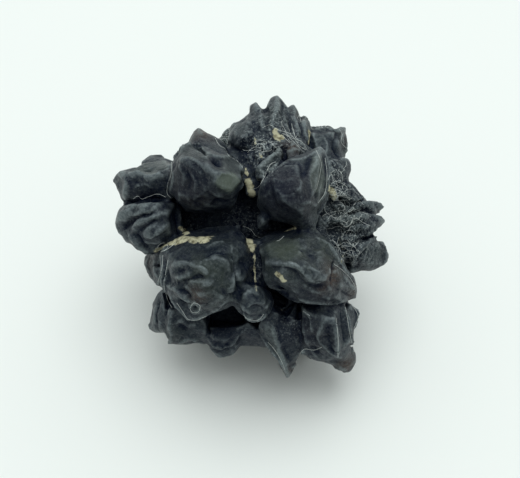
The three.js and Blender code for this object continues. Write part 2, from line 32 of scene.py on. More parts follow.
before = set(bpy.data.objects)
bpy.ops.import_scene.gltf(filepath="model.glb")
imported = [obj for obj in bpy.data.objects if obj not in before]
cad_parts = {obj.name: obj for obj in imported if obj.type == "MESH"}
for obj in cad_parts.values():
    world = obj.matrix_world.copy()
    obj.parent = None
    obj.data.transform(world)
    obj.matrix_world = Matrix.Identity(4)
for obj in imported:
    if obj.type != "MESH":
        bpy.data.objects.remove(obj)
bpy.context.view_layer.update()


# ---------------- objects and meshes
def linked(name, data):
    """A new object, in the scene."""
    thing = bpy.data.objects.new(name, data)
    bpy.context.scene.collection.objects.link(thing)
    return thing


def aimed(name, data, place, direction):
    """A new camera or light that looks in a direction."""
    thing = linked(name, data)
    thing.location = place
    thing.rotation_mode = "QUATERNION"
    thing.rotation_quaternion = direction.to_track_quat("-Z", "Y")
    return thing


def evaluated(thing):
    """The mesh that an object's modifiers or curves come to."""
    graph = bpy.context.evaluated_depsgraph_get()
    return bpy.data.meshes.new_from_object(thing.evaluated_get(graph))


def edit(mesh, change):
    """Changes a mesh with a function of its editable shape."""
    shape = bmesh.new()
    shape.from_mesh(mesh)
    change(shape)
    shape.to_mesh(mesh)
    shape.free()


# ---------------- camera
PICTURE = (520, 478)  # pixels
MIDDLE_PIXEL = (250, 236)  # where the nodule's middle shows
NODULE_MIDDLE = Vector((-0.417, -1.787, 25.3)) * MM
VIEW_ELEVATION = math.radians(50)
VIEW_DISTANCE = 240 * MM
VIEW_WIDTH = 104 * MM  # what the picture's width takes in at the nodule's middle
PIXEL = VIEW_WIDTH / PICTURE[0]  # its width there
CLIP_START = 10 * MM
SENSOR = 36.0  # mm

TOWARDS_CAMERA = Vector((0, -math.cos(VIEW_ELEVATION), math.sin(VIEW_ELEVATION)))
FACE_RIGHT = Vector((1, 0, 0))
FACE_UP = TOWARDS_CAMERA.cross(FACE_RIGHT)
CAMERA_PLACE = NODULE_MIDDLE + TOWARDS_CAMERA * VIEW_DISTANCE


def make_camera():
    data = bpy.data.cameras.new("camera")
    data.sensor_width = SENSOR
    data.lens = SENSOR * VIEW_DISTANCE / VIEW_WIDTH
    data.shift_x = (PICTURE[0] / 2 - MIDDLE_PIXEL[0]) / PICTURE[0]
    data.shift_y = (MIDDLE_PIXEL[1] - PICTURE[1] / 2) / PICTURE[0]
    data.clip_start = CLIP_START
    bpy.context.scene.camera = aimed("camera", data, CAMERA_PLACE, -TOWARDS_CAMERA)


make_camera()


def sight(px, py):
    """The direction in which the camera sees a pixel."""
    right = (px - MIDDLE_PIXEL[0]) * PIXEL
    up = (MIDDLE_PIXEL[1] - py) * PIXEL
    aim = NODULE_MIDDLE + FACE_RIGHT * right + FACE_UP * up
    return (aim - CAMERA_PLACE).normalized()


def pixels_of(places):
    """Where the camera sees each of many places."""
    away = places - np.array(CAMERA_PLACE)
    deep = -(away @ np.array(TOWARDS_CAMERA))
    scale = VIEW_DISTANCE / deep / PIXEL
    across = MIDDLE_PIXEL[0] + away @ np.array(FACE_RIGHT) * scale
    down = MIDDLE_PIXEL[1] - away @ np.array(FACE_UP) * scale
    return np.stack([across, down], axis=1)


# ---------------- the melted solid
VOXEL = 0.34 * MM
MELTING = 4  # rounds of smoothing of the remeshed solid
MELT_FACTOR = 0.5


def apply_modifiers(piece):
    mesh = evaluated(piece)
    piece.modifiers.clear()
    piece.data = mesh


def drop_crumbs(shape):
    """Keeps what the highest vertex is joined to, as remeshing leaves crumbs beside it."""
    highest = max(shape.verts, key=lambda vert: vert.co.z)
    skin = [highest]
    reached = {highest}
    for vert in skin:  # it grows while it is walked
        for edge in vert.link_edges:
            beside = edge.other_vert(vert)
            if beside not in reached:
                reached.add(beside)
                skin.append(beside)
    crumbs = [vert for vert in shape.verts if vert not in reached]
    bmesh.ops.delete(shape, geom=crumbs, context="VERTS")


def melted(node, name):
    """A finely meshed copy of a node with its edges melted."""
    piece = linked(name, node.data.copy())
    remesh = piece.modifiers.new("remesh", "REMESH")
    remesh.mode = "VOXEL"
    remesh.voxel_size = VOXEL
    smooth = piece.modifiers.new("melt", "SMOOTH")
    smooth.factor = MELT_FACTOR
    smooth.iterations = MELTING
    apply_modifiers(piece)
    edit(piece.data, drop_crumbs)
    return piece


class Surface:
    """The nodule's vertices, with the tools that find and move them."""

    def __init__(self, piece):
        self.mesh = piece.data
        self.read()

    def read(self):
        count = len(self.mesh.vertices)
        flat = np.zeros(count * 3)
        self.mesh.vertices.foreach_get("co", flat)
        self.places = flat.reshape(-1, 3).copy()
        self.mesh.vertices.foreach_get("normal", flat)
        self.normals = flat.reshape(-1, 3).copy()
        self.rays = BVHTree.FromPolygons(
            self.places.tolist(), [p.vertices[:] for p in self.mesh.polygons]
        )
        self.near = KDTree(count)
        for i, place in enumerate(self.places):
            self.near.insert(place, i)
        self.near.balance()

    def write(self, places):
        self.mesh.vertices.foreach_set("co", places.ravel())
        self.mesh.update()
        self.read()

    def push(self, heights):
        """Moves every vertex out along its normal, but not below the ground."""
        places = self.places + self.normals * heights[:, None]
        places[:, 2] = np.maximum(places[:, 2], 0)
        self.write(places)

    def curvature(self, rounds):
        """How far each vertex stands out from those round it, in mm, evened out by rounds."""
        ends = np.zeros(len(self.mesh.edges) * 2, dtype=np.int64)
        self.mesh.edges.foreach_get("vertices", ends)
        a, b = ends.reshape(-1, 2).T
        count = len(self.places)
        meets = np.bincount(a, minlength=count) + np.bincount(b, minlength=count)
        around = self.places
        for _ in range(rounds):
            total = np.zeros_like(around)
            np.add.at(total, a, around[b])
            np.add.at(total, b, around[a])
            around = total / meets[:, None]
        return np.sum((self.places - around) * self.normals, axis=1) / MM

    def seen(self, px, py):
        """The place on the surface that the camera sees at a pixel, or None past its edge."""
        return self.rays.ray_cast(CAMERA_PLACE, sight(px, py))[0]


nodule = melted(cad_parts["nodule"], "nodule_surface")
surface = Surface(nodule)

# ---------------- places and lines
STEP = 1.0  # pixels between the places that a line is followed by
TAPER = 0.25  # share of a line's length in which each end fades


def smooth_step(values, low, high):
    t = np.clip((values - low) / (high - low), 0, 1)
    return t * t * (3 - 2 * t)


def curve_through(points):
    """Closely spaced pixels on a smooth curve through the points."""
    points = [Vector(p) for p in points]
    ends = [2 * points[0] - points[1], *points, 2 * points[-1] - points[-2]]
    pixels = []
    for a, b, c, d in zip(ends, ends[1:], ends[2:], ends[3:]):
        steps = max(2, round((c - b).length / STEP))
        for k in range(steps):
            t = k / steps
            pixels.append(
                0.5 * (2 * b + (c - a) * t + (2 * a - 5 * b + 4 * c - d) * t**2)
                + 0.5 * (3 * b - 3 * c + d - a) * t**3
            )
    return [*pixels, points[-1]]


def trace(surface, points, width, reach, power, end):
    """How close each vertex is to a line of pixels: 1 on it, less as its ends fade to end."""
    pixels = curve_through(points)
    closeness = {}
    for k, pixel in enumerate(pixels):
        place = surface.seen(*pixel)
        if place is None:
            continue
        along = k / (len(pixels) - 1)
        taper = min(1, end + min(along, 1 - along) / TAPER)
        for _, i, distance in surface.near.find_range(place, reach * width):
            strength = taper * math.exp(-((distance / width) ** power))
            closeness[i] = max(closeness.get(i, 0), strength)
    return closeness


def spots(surface, places):
    """How far each vertex is in any of the places, 0 to 1."""
    amounts = np.zeros(len(surface.places))
    for px, py, radius, amount in places.values():
        middle = surface.seen(px, py)
        away = np.linalg.norm(surface.places - np.array(middle), axis=1) / (radius * MM)
        amounts = np.maximum(amounts, amount * np.exp(-(away**2)))
    return amounts


# Round the back, soft noise says where things show: its scale in mm and its seed, the noise at
# which they begin and are full, and their amount there.
BEHIND = {
    "rough": (9, 3.0, 0.12, 0.40, 0.8),
    "clay": (5, 8.0, 0.15, 0.35, 1.0),
    "rust": (6, 5.0, 0.28, 0.45, 0.8),
    "brown": (12, 6.0, 0.05, 0.30, 1.0),
    "olive": (12, 7.0, 0.0, 0.25, 1.0),
}
BEHIND_FADE = 4 * MM  # behind the nodule's middle, over which this begins


def patches(surface, where, name):
    scale, seed, begins, full, amount = BEHIND[name]
    shift = Vector((seed, -seed, seed / 2))
    levels = [noise.noise(Vector(p) / (scale * MM) + shift) for p in surface.places]
    return where * amount * smooth_step(np.array(levels), begins, full)


# ---------------- flat crystal faces, and the light or shade painted on each
# The outline of each as pixels of the picture, clockwise, how far up it leans, and how much painted light
# it gets or, below 0, how much painted shade, for how it faces the lamp.
FACETS = {
    "upper left block's facet": (
        [(215, 182), (222, 173), (234, 174), (241, 181), (231, 192), (221, 189)], 0.30, 0.85,
    ),
    "upper left block's top": (
        [(181, 146), (198, 139), (212, 153), (205, 168), (190, 160), (178, 160)], 0.10, 0.12,
    ),
    "upper left block's front": (
        [(178, 164), (191, 160), (204, 170), (209, 190), (196, 202), (178, 192)], -0.08, -0.8,
    ),
    "upper left block's corner": ([(222, 154), (238, 161), (242, 170), (240, 178), (224, 171)], 0.05, 0.15),
    "left corner's slab": (
        [(128, 172), (143, 164), (167, 160), (168, 168), (152, 177), (138, 174)], 0.25, 0.20,
    ),
    "left corner's front": (
        [(129, 176), (138, 176), (152, 179), (166, 171), (166, 192), (140, 197), (129, 195)], -0.05, -0.5,
    ),
    "top right crystal": ([(312, 133), (335, 132), (335, 146), (328, 158), (314, 150)], 0.10, 0.05),
    "right block's face": (
        [(273, 173), (285, 165), (300, 165), (303, 184), (295, 199), (281, 199), (272, 189)], -0.03, -0.6,
    ),
    "right block's side": (
        [(312, 158), (321, 156), (325, 172), (323, 188), (313, 196), (310, 180)], 0.0, 0.30,
    ),
    "slab": ([(256, 170), (270, 158), (280, 151), (286, 157), (272, 168), (262, 178)], 0.15, 0.15),
    "crown's shoulder": ([(232, 131), (243, 122), (250, 126), (248, 134), (236, 138)], 0.10, 0.10),
    "crown's blue facet": ([(233, 144), (241, 137), (249, 136), (250, 146), (241, 151)], -0.10, -0.8),
    "plate": ([(266, 244), (282, 238), (298, 240), (304, 252), (288, 260), (268, 256)], 0.10, 0.22),
    "button": ([(246, 304), (256, 301), (266, 304), (265, 314), (255, 319), (246, 314)], 0.0, -0.1),
    "plate's side": ([(335, 268), (344, 266), (356, 282), (352, 290), (340, 286)], 0.0, 0.0),
    "plate's lower side": (
        [(290, 284), (310, 290), (334, 292), (330, 301), (304, 300), (291, 294)], -0.05, -0.35,
    ),
    "right lower spur": ([(362, 248), (378, 240), (386, 252), (382, 264), (366, 266)], 0.0, 0.10),
    "triangle": ([(324, 320), (335, 320), (337, 354), (322, 341)], 0.0, -0.55),
    "side": ([(340, 318), (346, 314), (350, 342), (343, 352), (339, 340)], 0.0, 0.05),
    "spike's left": ([(262, 330), (272, 326), (280, 350), (284, 364), (270, 344)], 0.05, 0.15),
    "spike's right": ([(276, 326), (294, 330), (299, 350), (290, 363), (284, 352)], -0.03, -0.7),
    "lower middle crystal": ([(208, 326), (236, 326), (240, 334), (228, 343), (212, 342)], -0.03, -0.8),
    "lower left crystal": ([(177, 322), (196, 322), (201, 334), (184, 338), (176, 333)], 0.0, -0.5),
    "lower left leaf": ([(155, 305), (164, 302), (168, 318), (160, 330), (154, 324)], 0.0, -0.2),
}
FACET_FADE = 3.0  # pixels in from a facet's outline, over which it becomes flat
TONE_FADE = 0.8  # pixels, over which its painted light or shade begins
FACET_REACH = 7 * MM  # from a facet's middle
FLATNESS = 0.85


def inside(pixels, outline):
    """How many pixels each place is inside a convex outline, below 0 outside."""
    depth = np.full(len(pixels), np.inf)
    for start, end in zip(outline, [*outline[1:], outline[0]]):
        along = np.array(end, float) - start
        along /= np.linalg.norm(along)
        offset = pixels - start
        depth = np.minimum(depth, along[0] * offset[:, 1] - along[1] * offset[:, 0])
    return depth


def cut_facets(surface):
    """The vertices with each facet's brought onto its plane, and the painted light (above 0) or shade
    (below 0) of the facets.
    """
    places = surface.places.copy()
    tones = np.zeros(len(places))
    pixels = pixels_of(places)
    for outline, lean, tone in FACETS.values():
        depth = inside(pixels, outline)
        middle = surface.seen(*np.mean(outline, axis=0))
        close = np.linalg.norm(places - np.array(middle), axis=1) < FACET_REACH
        facing = surface.normals @ np.array(TOWARDS_CAMERA) > 0
        share = smooth_step(depth, 0, FACET_FADE) * close * facing
        normal = (surface.normals * share[:, None]).sum(axis=0)
        normal /= np.linalg.norm(normal)
        normal = normal + np.array((0, 0, lean))
        normal /= np.linalg.norm(normal)
        height = places @ normal
        level = np.average(height, weights=share)
        places -= np.outer((height - level) * share * FLATNESS, normal)
        # each facet's painted light or shade, for how it faces the lamp
        tones += tone * smooth_step(depth, -TONE_FADE, TONE_FADE) * close * facing
    return places, tones


# ---------------- folds and pits
# Each is where the camera sees it, as pixels of the picture, then its half width and its
# height in mm. Ridges are above 0, grooves below.
FOLDS = {
    # left corner crystal
    "corner facet's lower edge": (
        [(120, 173), (128, 176), (138, 174), (149, 178), (160, 174), (168, 169)], 0.9, 0.8,
    ),
    "corner facet's side edge": ([(127, 176), (127, 186), (124, 198)], 0.8, 0.5),
    "corner top dent": ([(144, 170), (151, 170)], 0.9, -0.5),
    "corner front dent": ([(133, 180), (140, 184), (138, 190)], 0.8, -0.4),
    "corner front fold": ([(136, 187), (146, 184), (153, 188)], 0.7, 0.4),
    "corner's foot": ([(118, 200), (130, 203), (142, 201), (154, 199), (165, 199)], 0.5, -0.6),
    # left lower knob
    "knob's broad fold": ([(118, 222), (125, 214), (135, 208), (148, 208), (160, 205)], 1.6, 1.1),
    "knob's main groove": ([(122, 231), (128, 223), (137, 218), (148, 214), (157, 211)], 1.0, -1.3),
    "knob's second fold": ([(133, 226), (140, 221), (148, 219), (158, 215)], 1.1, 0.9),
    "knob's second groove": ([(139, 231), (145, 226), (152, 222), (158, 221)], 0.8, -1.0),
    "knob's bump": ([(147, 236), (157, 231), (166, 225)], 1.7, 1.0),
    "knob's lower fold": ([(128, 232), (135, 240), (143, 248), (152, 254)], 0.8, 0.7),
    "knob's lower groove": ([(136, 234), (142, 242), (148, 249)], 0.6, -0.6),
    "knob's top dent": ([(127, 211), (133, 209)], 0.5, -0.5),
    "knob's second dent": ([(139, 206), (145, 206)], 0.6, -0.5),
    # upper left block
    "block's long dent": ([(195, 142), (201, 147), (208, 153)], 1.1, -1.3),
    "block's pit": ([(216, 162), (218, 164)], 1.0, -1.1),
    "block's brow": ([(178, 162), (190, 158), (200, 165), (210, 172), (220, 175)], 0.8, 0.3),
    "block's upper fold": ([(208, 150), (214, 156), (224, 158), (233, 156), (240, 165)], 0.8, 0.4),
    "block's left fold": ([(190, 142), (180, 152), (173, 163), (175, 176), (171, 190)], 0.8, 0.5),
    "block's lower lip": ([(208, 187), (216, 194), (228, 197), (237, 192)], 0.7, 0.25),
    "block's lower groove": ([(209, 193), (217, 201), (230, 203)], 0.8, -0.6),
    "block's front fold": ([(180, 166), (185, 176), (183, 187)], 0.8, 0.4),
    "block's front fold 2": ([(191, 172), (197, 181), (195, 192)], 0.8, 0.4),
    "block's front groove": ([(186, 170), (190, 180), (188, 190)], 0.7, -0.4),
    "block's right edge": ([(241, 168), (243, 178), (238, 190)], 0.7, 0.5),
    # crown
    "crown's middle ridge": ([(277, 97), (276, 110), (272, 126)], 0.9, 0.5),
    "crown's right ridge": ([(279, 98), (286, 110), (293, 123), (301, 136)], 0.8, 0.5),
    "crown's left ridge": ([(258, 107), (262, 119), (262, 129)], 0.8, 0.5),
    "crown's right peak ridge": ([(294, 109), (293, 120), (297, 135), (300, 146)], 0.7, 0.5),
    "crown's groove 1": ([(268, 108), (268, 118), (266, 130)], 0.6, -0.5),
    "crown's groove 2": ([(282, 108), (283, 120), (286, 133)], 0.5, -0.5),
    "crown's groove 3": ([(289, 113), (290, 124), (292, 136)], 0.5, -0.5),
    "crown's notch": ([(264, 107), (266, 113)], 0.5, -0.5),
    "crown's last ridge": ([(304, 120), (304, 130), (306, 140)], 0.6, 0.4),
    "crown's lap 1": ([(290, 147), (297, 142), (304, 147)], 0.4, 0.4),
    "crown's lap 2": ([(287, 152), (296, 150), (304, 153)], 0.4, 0.4),
    # top right crystal
    "top right's edge": ([(312, 131), (325, 129), (335, 131), (344, 129)], 0.7, 0.4),
    "top right's point": ([(344, 129), (341, 139), (347, 147)], 0.6, 0.4),
    "top right's groove": ([(336, 134), (334, 146), (338, 157)], 0.7, -0.5),
    "top right's fold": ([(323, 135), (327, 146), (325, 157)], 0.8, 0.4),
    # upper right block
    "right block's top": ([(320, 150), (311, 156), (300, 160), (288, 160)], 0.8, 0.5),
    "right block's outer ridge": ([(322, 150), (325, 160), (327, 174), (325, 190), (318, 203)], 0.7, 0.6),
    "right block's inner ridge": ([(317, 156), (316, 172), (313, 186), (310, 201)], 0.8, 0.6),
    "right block's groove": ([(310, 157), (306, 168), (302, 179)], 0.8, -0.6),
    "right block's thin groove": ([(321, 163), (320, 180), (315, 196)], 0.4, -0.5),
    "right block's foot": ([(302, 204), (310, 203), (317, 206)], 0.5, 0.4),
    "right block's face fold": ([(272, 178), (284, 182), (296, 178)], 0.8, 0.3),
    "right block's face dent": ([(278, 190), (288, 194), (296, 190)], 1.0, -0.4),
    "slab's crack": ([(262, 182), (268, 173), (277, 165), (284, 158)], 0.4, -0.8),
    "slab's edge": ([(256, 170), (268, 160), (281, 151)], 0.6, 0.5),
    # right flank
    "flank's lap 1": ([(327, 178), (333, 172), (338, 176), (337, 186)], 0.4, 0.5),
    "flank's lap 2": ([(329, 186), (338, 183), (347, 186), (354, 192)], 0.4, 0.6),
    "flank's fin 1": ([(340, 192), (348, 198), (356, 200), (362, 197)], 0.5, 0.8),
    "flank's groove 1": ([(338, 197), (346, 203), (355, 205)], 0.5, -0.8),
    "flank's fin 2": ([(346, 212), (354, 207), (364, 204), (376, 205), (384, 208)], 0.6, 0.8),
    "flank's groove 2": ([(350, 216), (360, 211), (370, 213)], 0.5, -0.8),
    "flank's fin 3": ([(344, 222), (356, 216), (370, 217), (385, 221)], 0.6, 0.8),
    "flank's groove 3": ([(346, 230), (356, 223), (368, 223)], 0.5, -0.8),
    "flank's fin 4": ([(380, 226), (368, 232), (356, 237), (344, 240)], 0.5, 0.8),
    "flank's groove 4": ([(376, 232), (364, 238), (352, 244)], 0.5, -0.8),
    "flank's fin 5": ([(378, 236), (366, 243), (357, 252), (352, 264)], 0.5, 0.8),
    "flank's groove 5": ([(366, 248), (360, 256), (357, 267)], 0.5, -0.5),
    "flank's hole 1": ([(331, 230), (336, 231)], 1.2, -1.6),
    "flank's hole 2": ([(319, 213), (325, 211)], 1.1, -1.2),
    "flank's upper fold": ([(332, 164), (340, 167), (343, 176)], 0.6, 0.5),
    "spur's ridge": ([(380, 240), (386, 252), (384, 264)], 0.6, 0.4),
    # front left block
    "front block's edge 1": ([(163, 255), (163, 268), (161, 282)], 0.4, 0.5),
    "front block's edge 2": ([(169, 262), (167, 275), (165, 288), (166, 300), (170, 308)], 0.4, 0.6),
    "front block's side groove": ([(166, 258), (165, 272), (163, 284)], 0.4, -0.5),
    "front block's top fold": ([(172, 265), (184, 263), (196, 266), (205, 270), (207, 275)], 0.7, 0.58),
    "front block's dark dent": ([(176, 271), (185, 270)], 0.7, -0.5),
    "front block's long groove": ([(176, 284), (186, 280), (196, 276), (206, 278)], 0.6, -0.8),
    "front block's dent 2": ([(180, 287), (186, 284)], 0.9, -0.7),
    "front block's lower fold": ([(167, 285), (176, 289), (184, 297), (192, 302)], 0.6, 0.7),
    "front block's lower groove": ([(178, 290), (186, 293), (191, 298)], 0.5, -0.6),
    "front block's slot": ([(178, 299), (184, 303), (190, 303)], 0.6, -1.0),
    "front block's ring": ([(190, 308), (195, 303), (200, 308), (195, 313), (190, 308)], 0.4, 0.4),
    "front block's ring pit": ([(194, 308), (196, 308)], 0.7, -0.8),
    "front block's small pit": ([(206, 304), (208, 304)], 0.5, -0.5),
    "front block's corner fold": ([(171, 298), (177, 305), (184, 312), (188, 319)], 0.5, 0.6),
    "front block's lip": ([(188, 319), (198, 317), (208, 313), (218, 307), (224, 302)], 0.7, 0.5),
    "front block's swirl 1": ([(207, 248), (216, 243), (226, 242)], 0.7, 0.4),
    "front block's swirl 2": ([(209, 263), (217, 258), (226, 261), (233, 270)], 0.6, 0.08),
    "front block's swirl groove": ([(206, 256), (216, 252), (228, 253)], 0.6, -0.5),
    "front block's swirl 3": ([(213, 272), (212, 281), (205, 289)], 0.6, 0.10),
    "front block's right edge": ([(231, 244), (232, 258), (234, 272), (233, 286)], 0.6, 0.45),
    "front block's knob": ([(228, 289), (232, 285)], 0.9, 0.3),
    "front block's knob groove": ([(222, 291), (228, 295), (236, 293)], 0.5, -0.5),
    "seam left of the middle": ([(231, 250), (234, 262), (236, 276), (240, 290), (238, 300)], 0.7, -0.9),
    # front middle knob and its button
    "middle dent": ([(240, 262), (246, 264)], 1.2, -0.6),
    "button's rim": ([(243, 307), (247, 317), (255, 320), (263, 316), (267, 307)], 0.6, 0.5),
    "button's line": ([(247, 309), (256, 306), (265, 309)], 0.5, -0.4),
    "middle knob's fold": ([(240, 296), (250, 292), (260, 296)], 0.8, 0.4),
    # front right block
    "wave": ([(284, 264), (292, 265), (299, 268), (306, 276), (315, 282), (326, 280)], 0.36, 0.42),
    "wave's upper fold": ([(300, 258), (307, 263), (313, 270), (321, 272), (328, 266)], 0.4, 0.15),
    "wave's groove": ([(268, 268), (284, 268), (295, 272), (302, 281), (314, 287), (326, 285)], 0.7, -0.45),
    "wave's back": ([(299, 262), (308, 268), (316, 268), (322, 262), (323, 252)], 0.6, 0.08),
    "wave's back groove": ([(302, 257), (311, 261), (317, 257)], 0.6, -0.2),
    "plate's dent": ([(298, 246), (304, 250)], 1.2, -0.6),
    "plate's crest": ([(316, 237), (327, 245), (335, 257), (341, 268), (350, 276)], 0.7, 0.6),
    "plate's side groove": ([(334, 259), (333, 270), (331, 282)], 0.5, -0.6),
    "plate's point": ([(342, 276), (350, 285), (357, 293)], 0.6, 0.4),
    "plate's lower edge": ([(296, 298), (312, 301), (330, 303), (346, 301)], 0.6, 0.5),
    "plate's under groove": ([(334, 287), (343, 292), (352, 297)], 0.5, -0.4),
    "plate's under hollow": ([(275, 287), (282, 297), (286, 310), (284, 325)], 1.9, -1.7),
    # lower right crystals
    "triangle's right edge": ([(334, 319), (337, 335), (338, 357)], 0.4, 0.6),
    "triangle's left edge": ([(323, 323), (318, 337), (326, 348), (337, 357)], 0.4, 0.6),
    "triangle's hollow": ([(328, 325), (328, 338), (332, 349)], 0.9, -0.7),
    "triangle's step": ([(321, 337), (328, 338), (334, 336)], 0.3, -0.4),
    "side ridge 1": ([(345, 309), (348, 323), (350, 340), (353, 354)], 0.5, 0.6),
    "side groove 1": ([(341, 312), (343, 326), (345, 344)], 0.5, -0.5),
    "side ridge 2": ([(352, 304), (357, 314), (354, 328)], 0.5, 0.5),
    "side lap": ([(343, 345), (350, 340), (356, 346)], 0.5, 0.5),
    "wedge's front fold": ([(305, 338), (311, 349), (319, 358)], 0.6, 0.5),
    "wedge's upper fold": ([(300, 305), (310, 318), (312, 332)], 0.7, 0.4),
    "spike's ridge": ([(272, 322), (277, 340), (284, 362), (287, 374)], 0.8, 0.45),
    "spike's left edge": ([(259, 331), (268, 343), (278, 357), (288, 371)], 0.5, 0.6),
    "spike's right edge": ([(303, 352), (298, 360), (292, 368)], 0.5, 0.5),
    "spike's face": ([(278, 335), (284, 348), (290, 360)], 1.0, -0.4),
    "corner's lower edge": ([(318, 361), (331, 366), (346, 370)], 0.5, 0.4),
    # lower left crystals
    "leaf's rim": ([(160, 290), (153, 302), (150, 316), (150, 330)], 0.5, 0.5),
    "leaf's groove": ([(160, 300), (156, 314), (157, 328)], 0.6, -0.5),
    "lower left ridge": ([(172, 313), (170, 326), (172, 337), (168, 345)], 0.5, 0.6),
    "lower left ridge 2": ([(178, 343), (190, 338), (204, 343)], 0.5, 0.5),
    "lower left dent": ([(180, 326), (186, 330)], 1.0, -0.6),
    "lower middle rim": ([(208, 338), (216, 345), (228, 345), (236, 336), (246, 328)], 0.6, 0.7),
    "lower middle groove": ([(212, 349), (222, 351), (233, 345)], 0.5, -0.4),
    "left rear ridge 1": ([(150, 256), (147, 265), (152, 276), (157, 285)], 0.4, 0.4),
    "left rear ridge 2": ([(157, 256), (155, 268), (158, 278)], 0.4, 0.4),
}
FOLD_GAIN = 1.15
FOLD_THIN = 0.65  # of the half widths above
FOLD_POWER = 1.2  # below 2, a fold's crest is sharp
FOLD_REACH = 2.6  # half widths beyond which a fold is nothing
FOLD_END = 0.3  # of its height, at its ends


def fold_heights(surface):
    heights = np.zeros(len(surface.places))
    for points, width, height in FOLDS.values():
        width *= FOLD_THIN * MM
        strengths = trace(surface, points, width, FOLD_REACH, FOLD_POWER, FOLD_END)
        for i, strength in strengths.items():
            heights[i] += strength * height * FOLD_GAIN * MM
    return heights


# ---------------- crumpled skin
# Noise that crumples the skin: its scale and its height, mm.
BROAD_DENTS = (4.4, 0.20)
WRINKLES = (4.0, 0.12)
FINE_WRINKLES = (1.5, 0.06)
ROUGH_EDGES = (0.9, 0.66)
ROUGH_GRAINS = (0.5, 0.18)
WRINKLE_SWAY = (4.0, 1.6)  # the scale and reach of what moves it about, mm
EDGE_SWAY = (2.0, 0.8)
MEAN_RIDGE = 0.5
SECOND_NOISE = Vector((17.3, 4.1, 9.7))
THIRD_NOISE = Vector((-8.9, 21.7, 3.3))
ROUGH_CALM = 0.3  # share of the crumples that a rough place loses
FACET_CALM = 0.4  # and a facet of full painted light or shade


def swayed(p, scale, reach):
    """A place moved softly about, so that the noise read there is less regular."""
    q = p / scale
    sway = (noise.noise(q), noise.noise(q + SECOND_NOISE), noise.noise(q + THIRD_NOISE))
    return p + Vector(sway) * reach


def waves(p, scale, height):
    """Soft noise."""
    return height * noise.noise(p / scale)


def ridges(p, scale, height):
    """Noise with sharp crests."""
    return height * ((1 - 2 * abs(noise.noise(p / scale))) - MEAN_RIDGE)


def crumple(p):
    """Broad soft dents, and the worn wrinkles on them, in mm, at a place in mm."""
    moved = swayed(p, *WRINKLE_SWAY)
    return waves(p, *BROAD_DENTS) + ridges(moved, *WRINKLES) + ridges(moved, *FINE_WRINKLES)


def roughness_relief(p):
    """Close crystal edges of the rough places, in mm, at a place in mm."""
    return ridges(swayed(p, *EDGE_SWAY), *ROUGH_EDGES) + waves(p, *ROUGH_GRAINS)


# Where things show, here and below: a pixel of the picture, a radius in mm and an amount.
ROUGH_PLACES = {
    "crown's foot": (264, 146, 3.8, 1.0),
    "crown": (275, 122, 5, 0.6),
    "crown's right": (298, 140, 3, 0.8),
    "slab": (268, 172, 2, 0.7),
    "crevice left": (190, 222, 4, 0.45),
    "crevice middle": (248, 224, 4.5, 0.75),
    "crevice right": (275, 230, 4, 0.5),
    "flank top": (335, 178, 4, 0.9),
    "flank middle": (345, 210, 6, 1.0),
    "flank low": (352, 240, 6, 1.0),
    "below the plate": (290, 325, 3, 0.2),
    "seam": (255, 270, 2, 0.5),
}

flat_places, tones = cut_facets(surface)
surface.write(flat_places)
surface.push(fold_heights(surface))
depth_behind = -(surface.places - np.array(NODULE_MIDDLE)) @ np.array(TOWARDS_CAMERA)
behind = smooth_step(depth_behind, 0.0, BEHIND_FADE)
rough = np.maximum(spots(surface, ROUGH_PLACES), patches(surface, behind, "rough"))
in_mm = [Vector(p) / MM for p in surface.places]
crumples = np.array([crumple(p) for p in in_mm]) * MM
crumples *= 1 - ROUGH_CALM * rough
crumples *= 1 - FACET_CALM * np.abs(tones)
roughs = np.array([roughness_relief(p) for p in in_mm]) * MM
surface.push(crumples + roughs * rough)

# ---------------- shelter, which is painted as shade, and which sets where dust and clay lie
RAYS = 14
SHELTER_REACH = 14 * MM
SHELTER_START = 0.3 * MM
# Spots that count as sheltered, under overhangs and in hollows, where they get painted shade.
HOLLOW_PLACES = {
    "under the plate": (287, 299, 2.2, 1.0),
    "plate's lower lip": (287, 293, 1.9, 1.0),
    "lower hollow": (289, 314, 2.2, 0.8),
    "crevice floor": (215, 220, 4.0, 0.8),
    "below the front block": (222, 326, 2.8, 1.0),
    "below the middle knob": (252, 328, 2.4, 0.8),
}


def sheltered(surface):
    """How far each vertex is closed in by the crystals round it, 0 to 1."""
    golden = math.pi * (3 - math.sqrt(5))
    rays = []
    for k in range(RAYS):
        up = 1 - (k + 0.5) / RAYS
        out = math.sqrt(1 - up * up)
        rays.append(Vector((out * math.cos(golden * k), out * math.sin(golden * k), up)))
    closed = []
    for place, normal in zip(surface.places, surface.normals):
        turn = Vector((0, 0, 1)).rotation_difference(Vector(normal))
        start = Vector(place) + Vector(normal) * SHELTER_START
        hits = 0
        for ray in rays:
            if surface.rays.ray_cast(start, turn @ ray, SHELTER_REACH)[0]:
                hits += 1
        closed.append(hits / RAYS)
    return np.array(closed)


shelter = np.maximum(sheltered(surface), spots(surface, HOLLOW_PLACES))

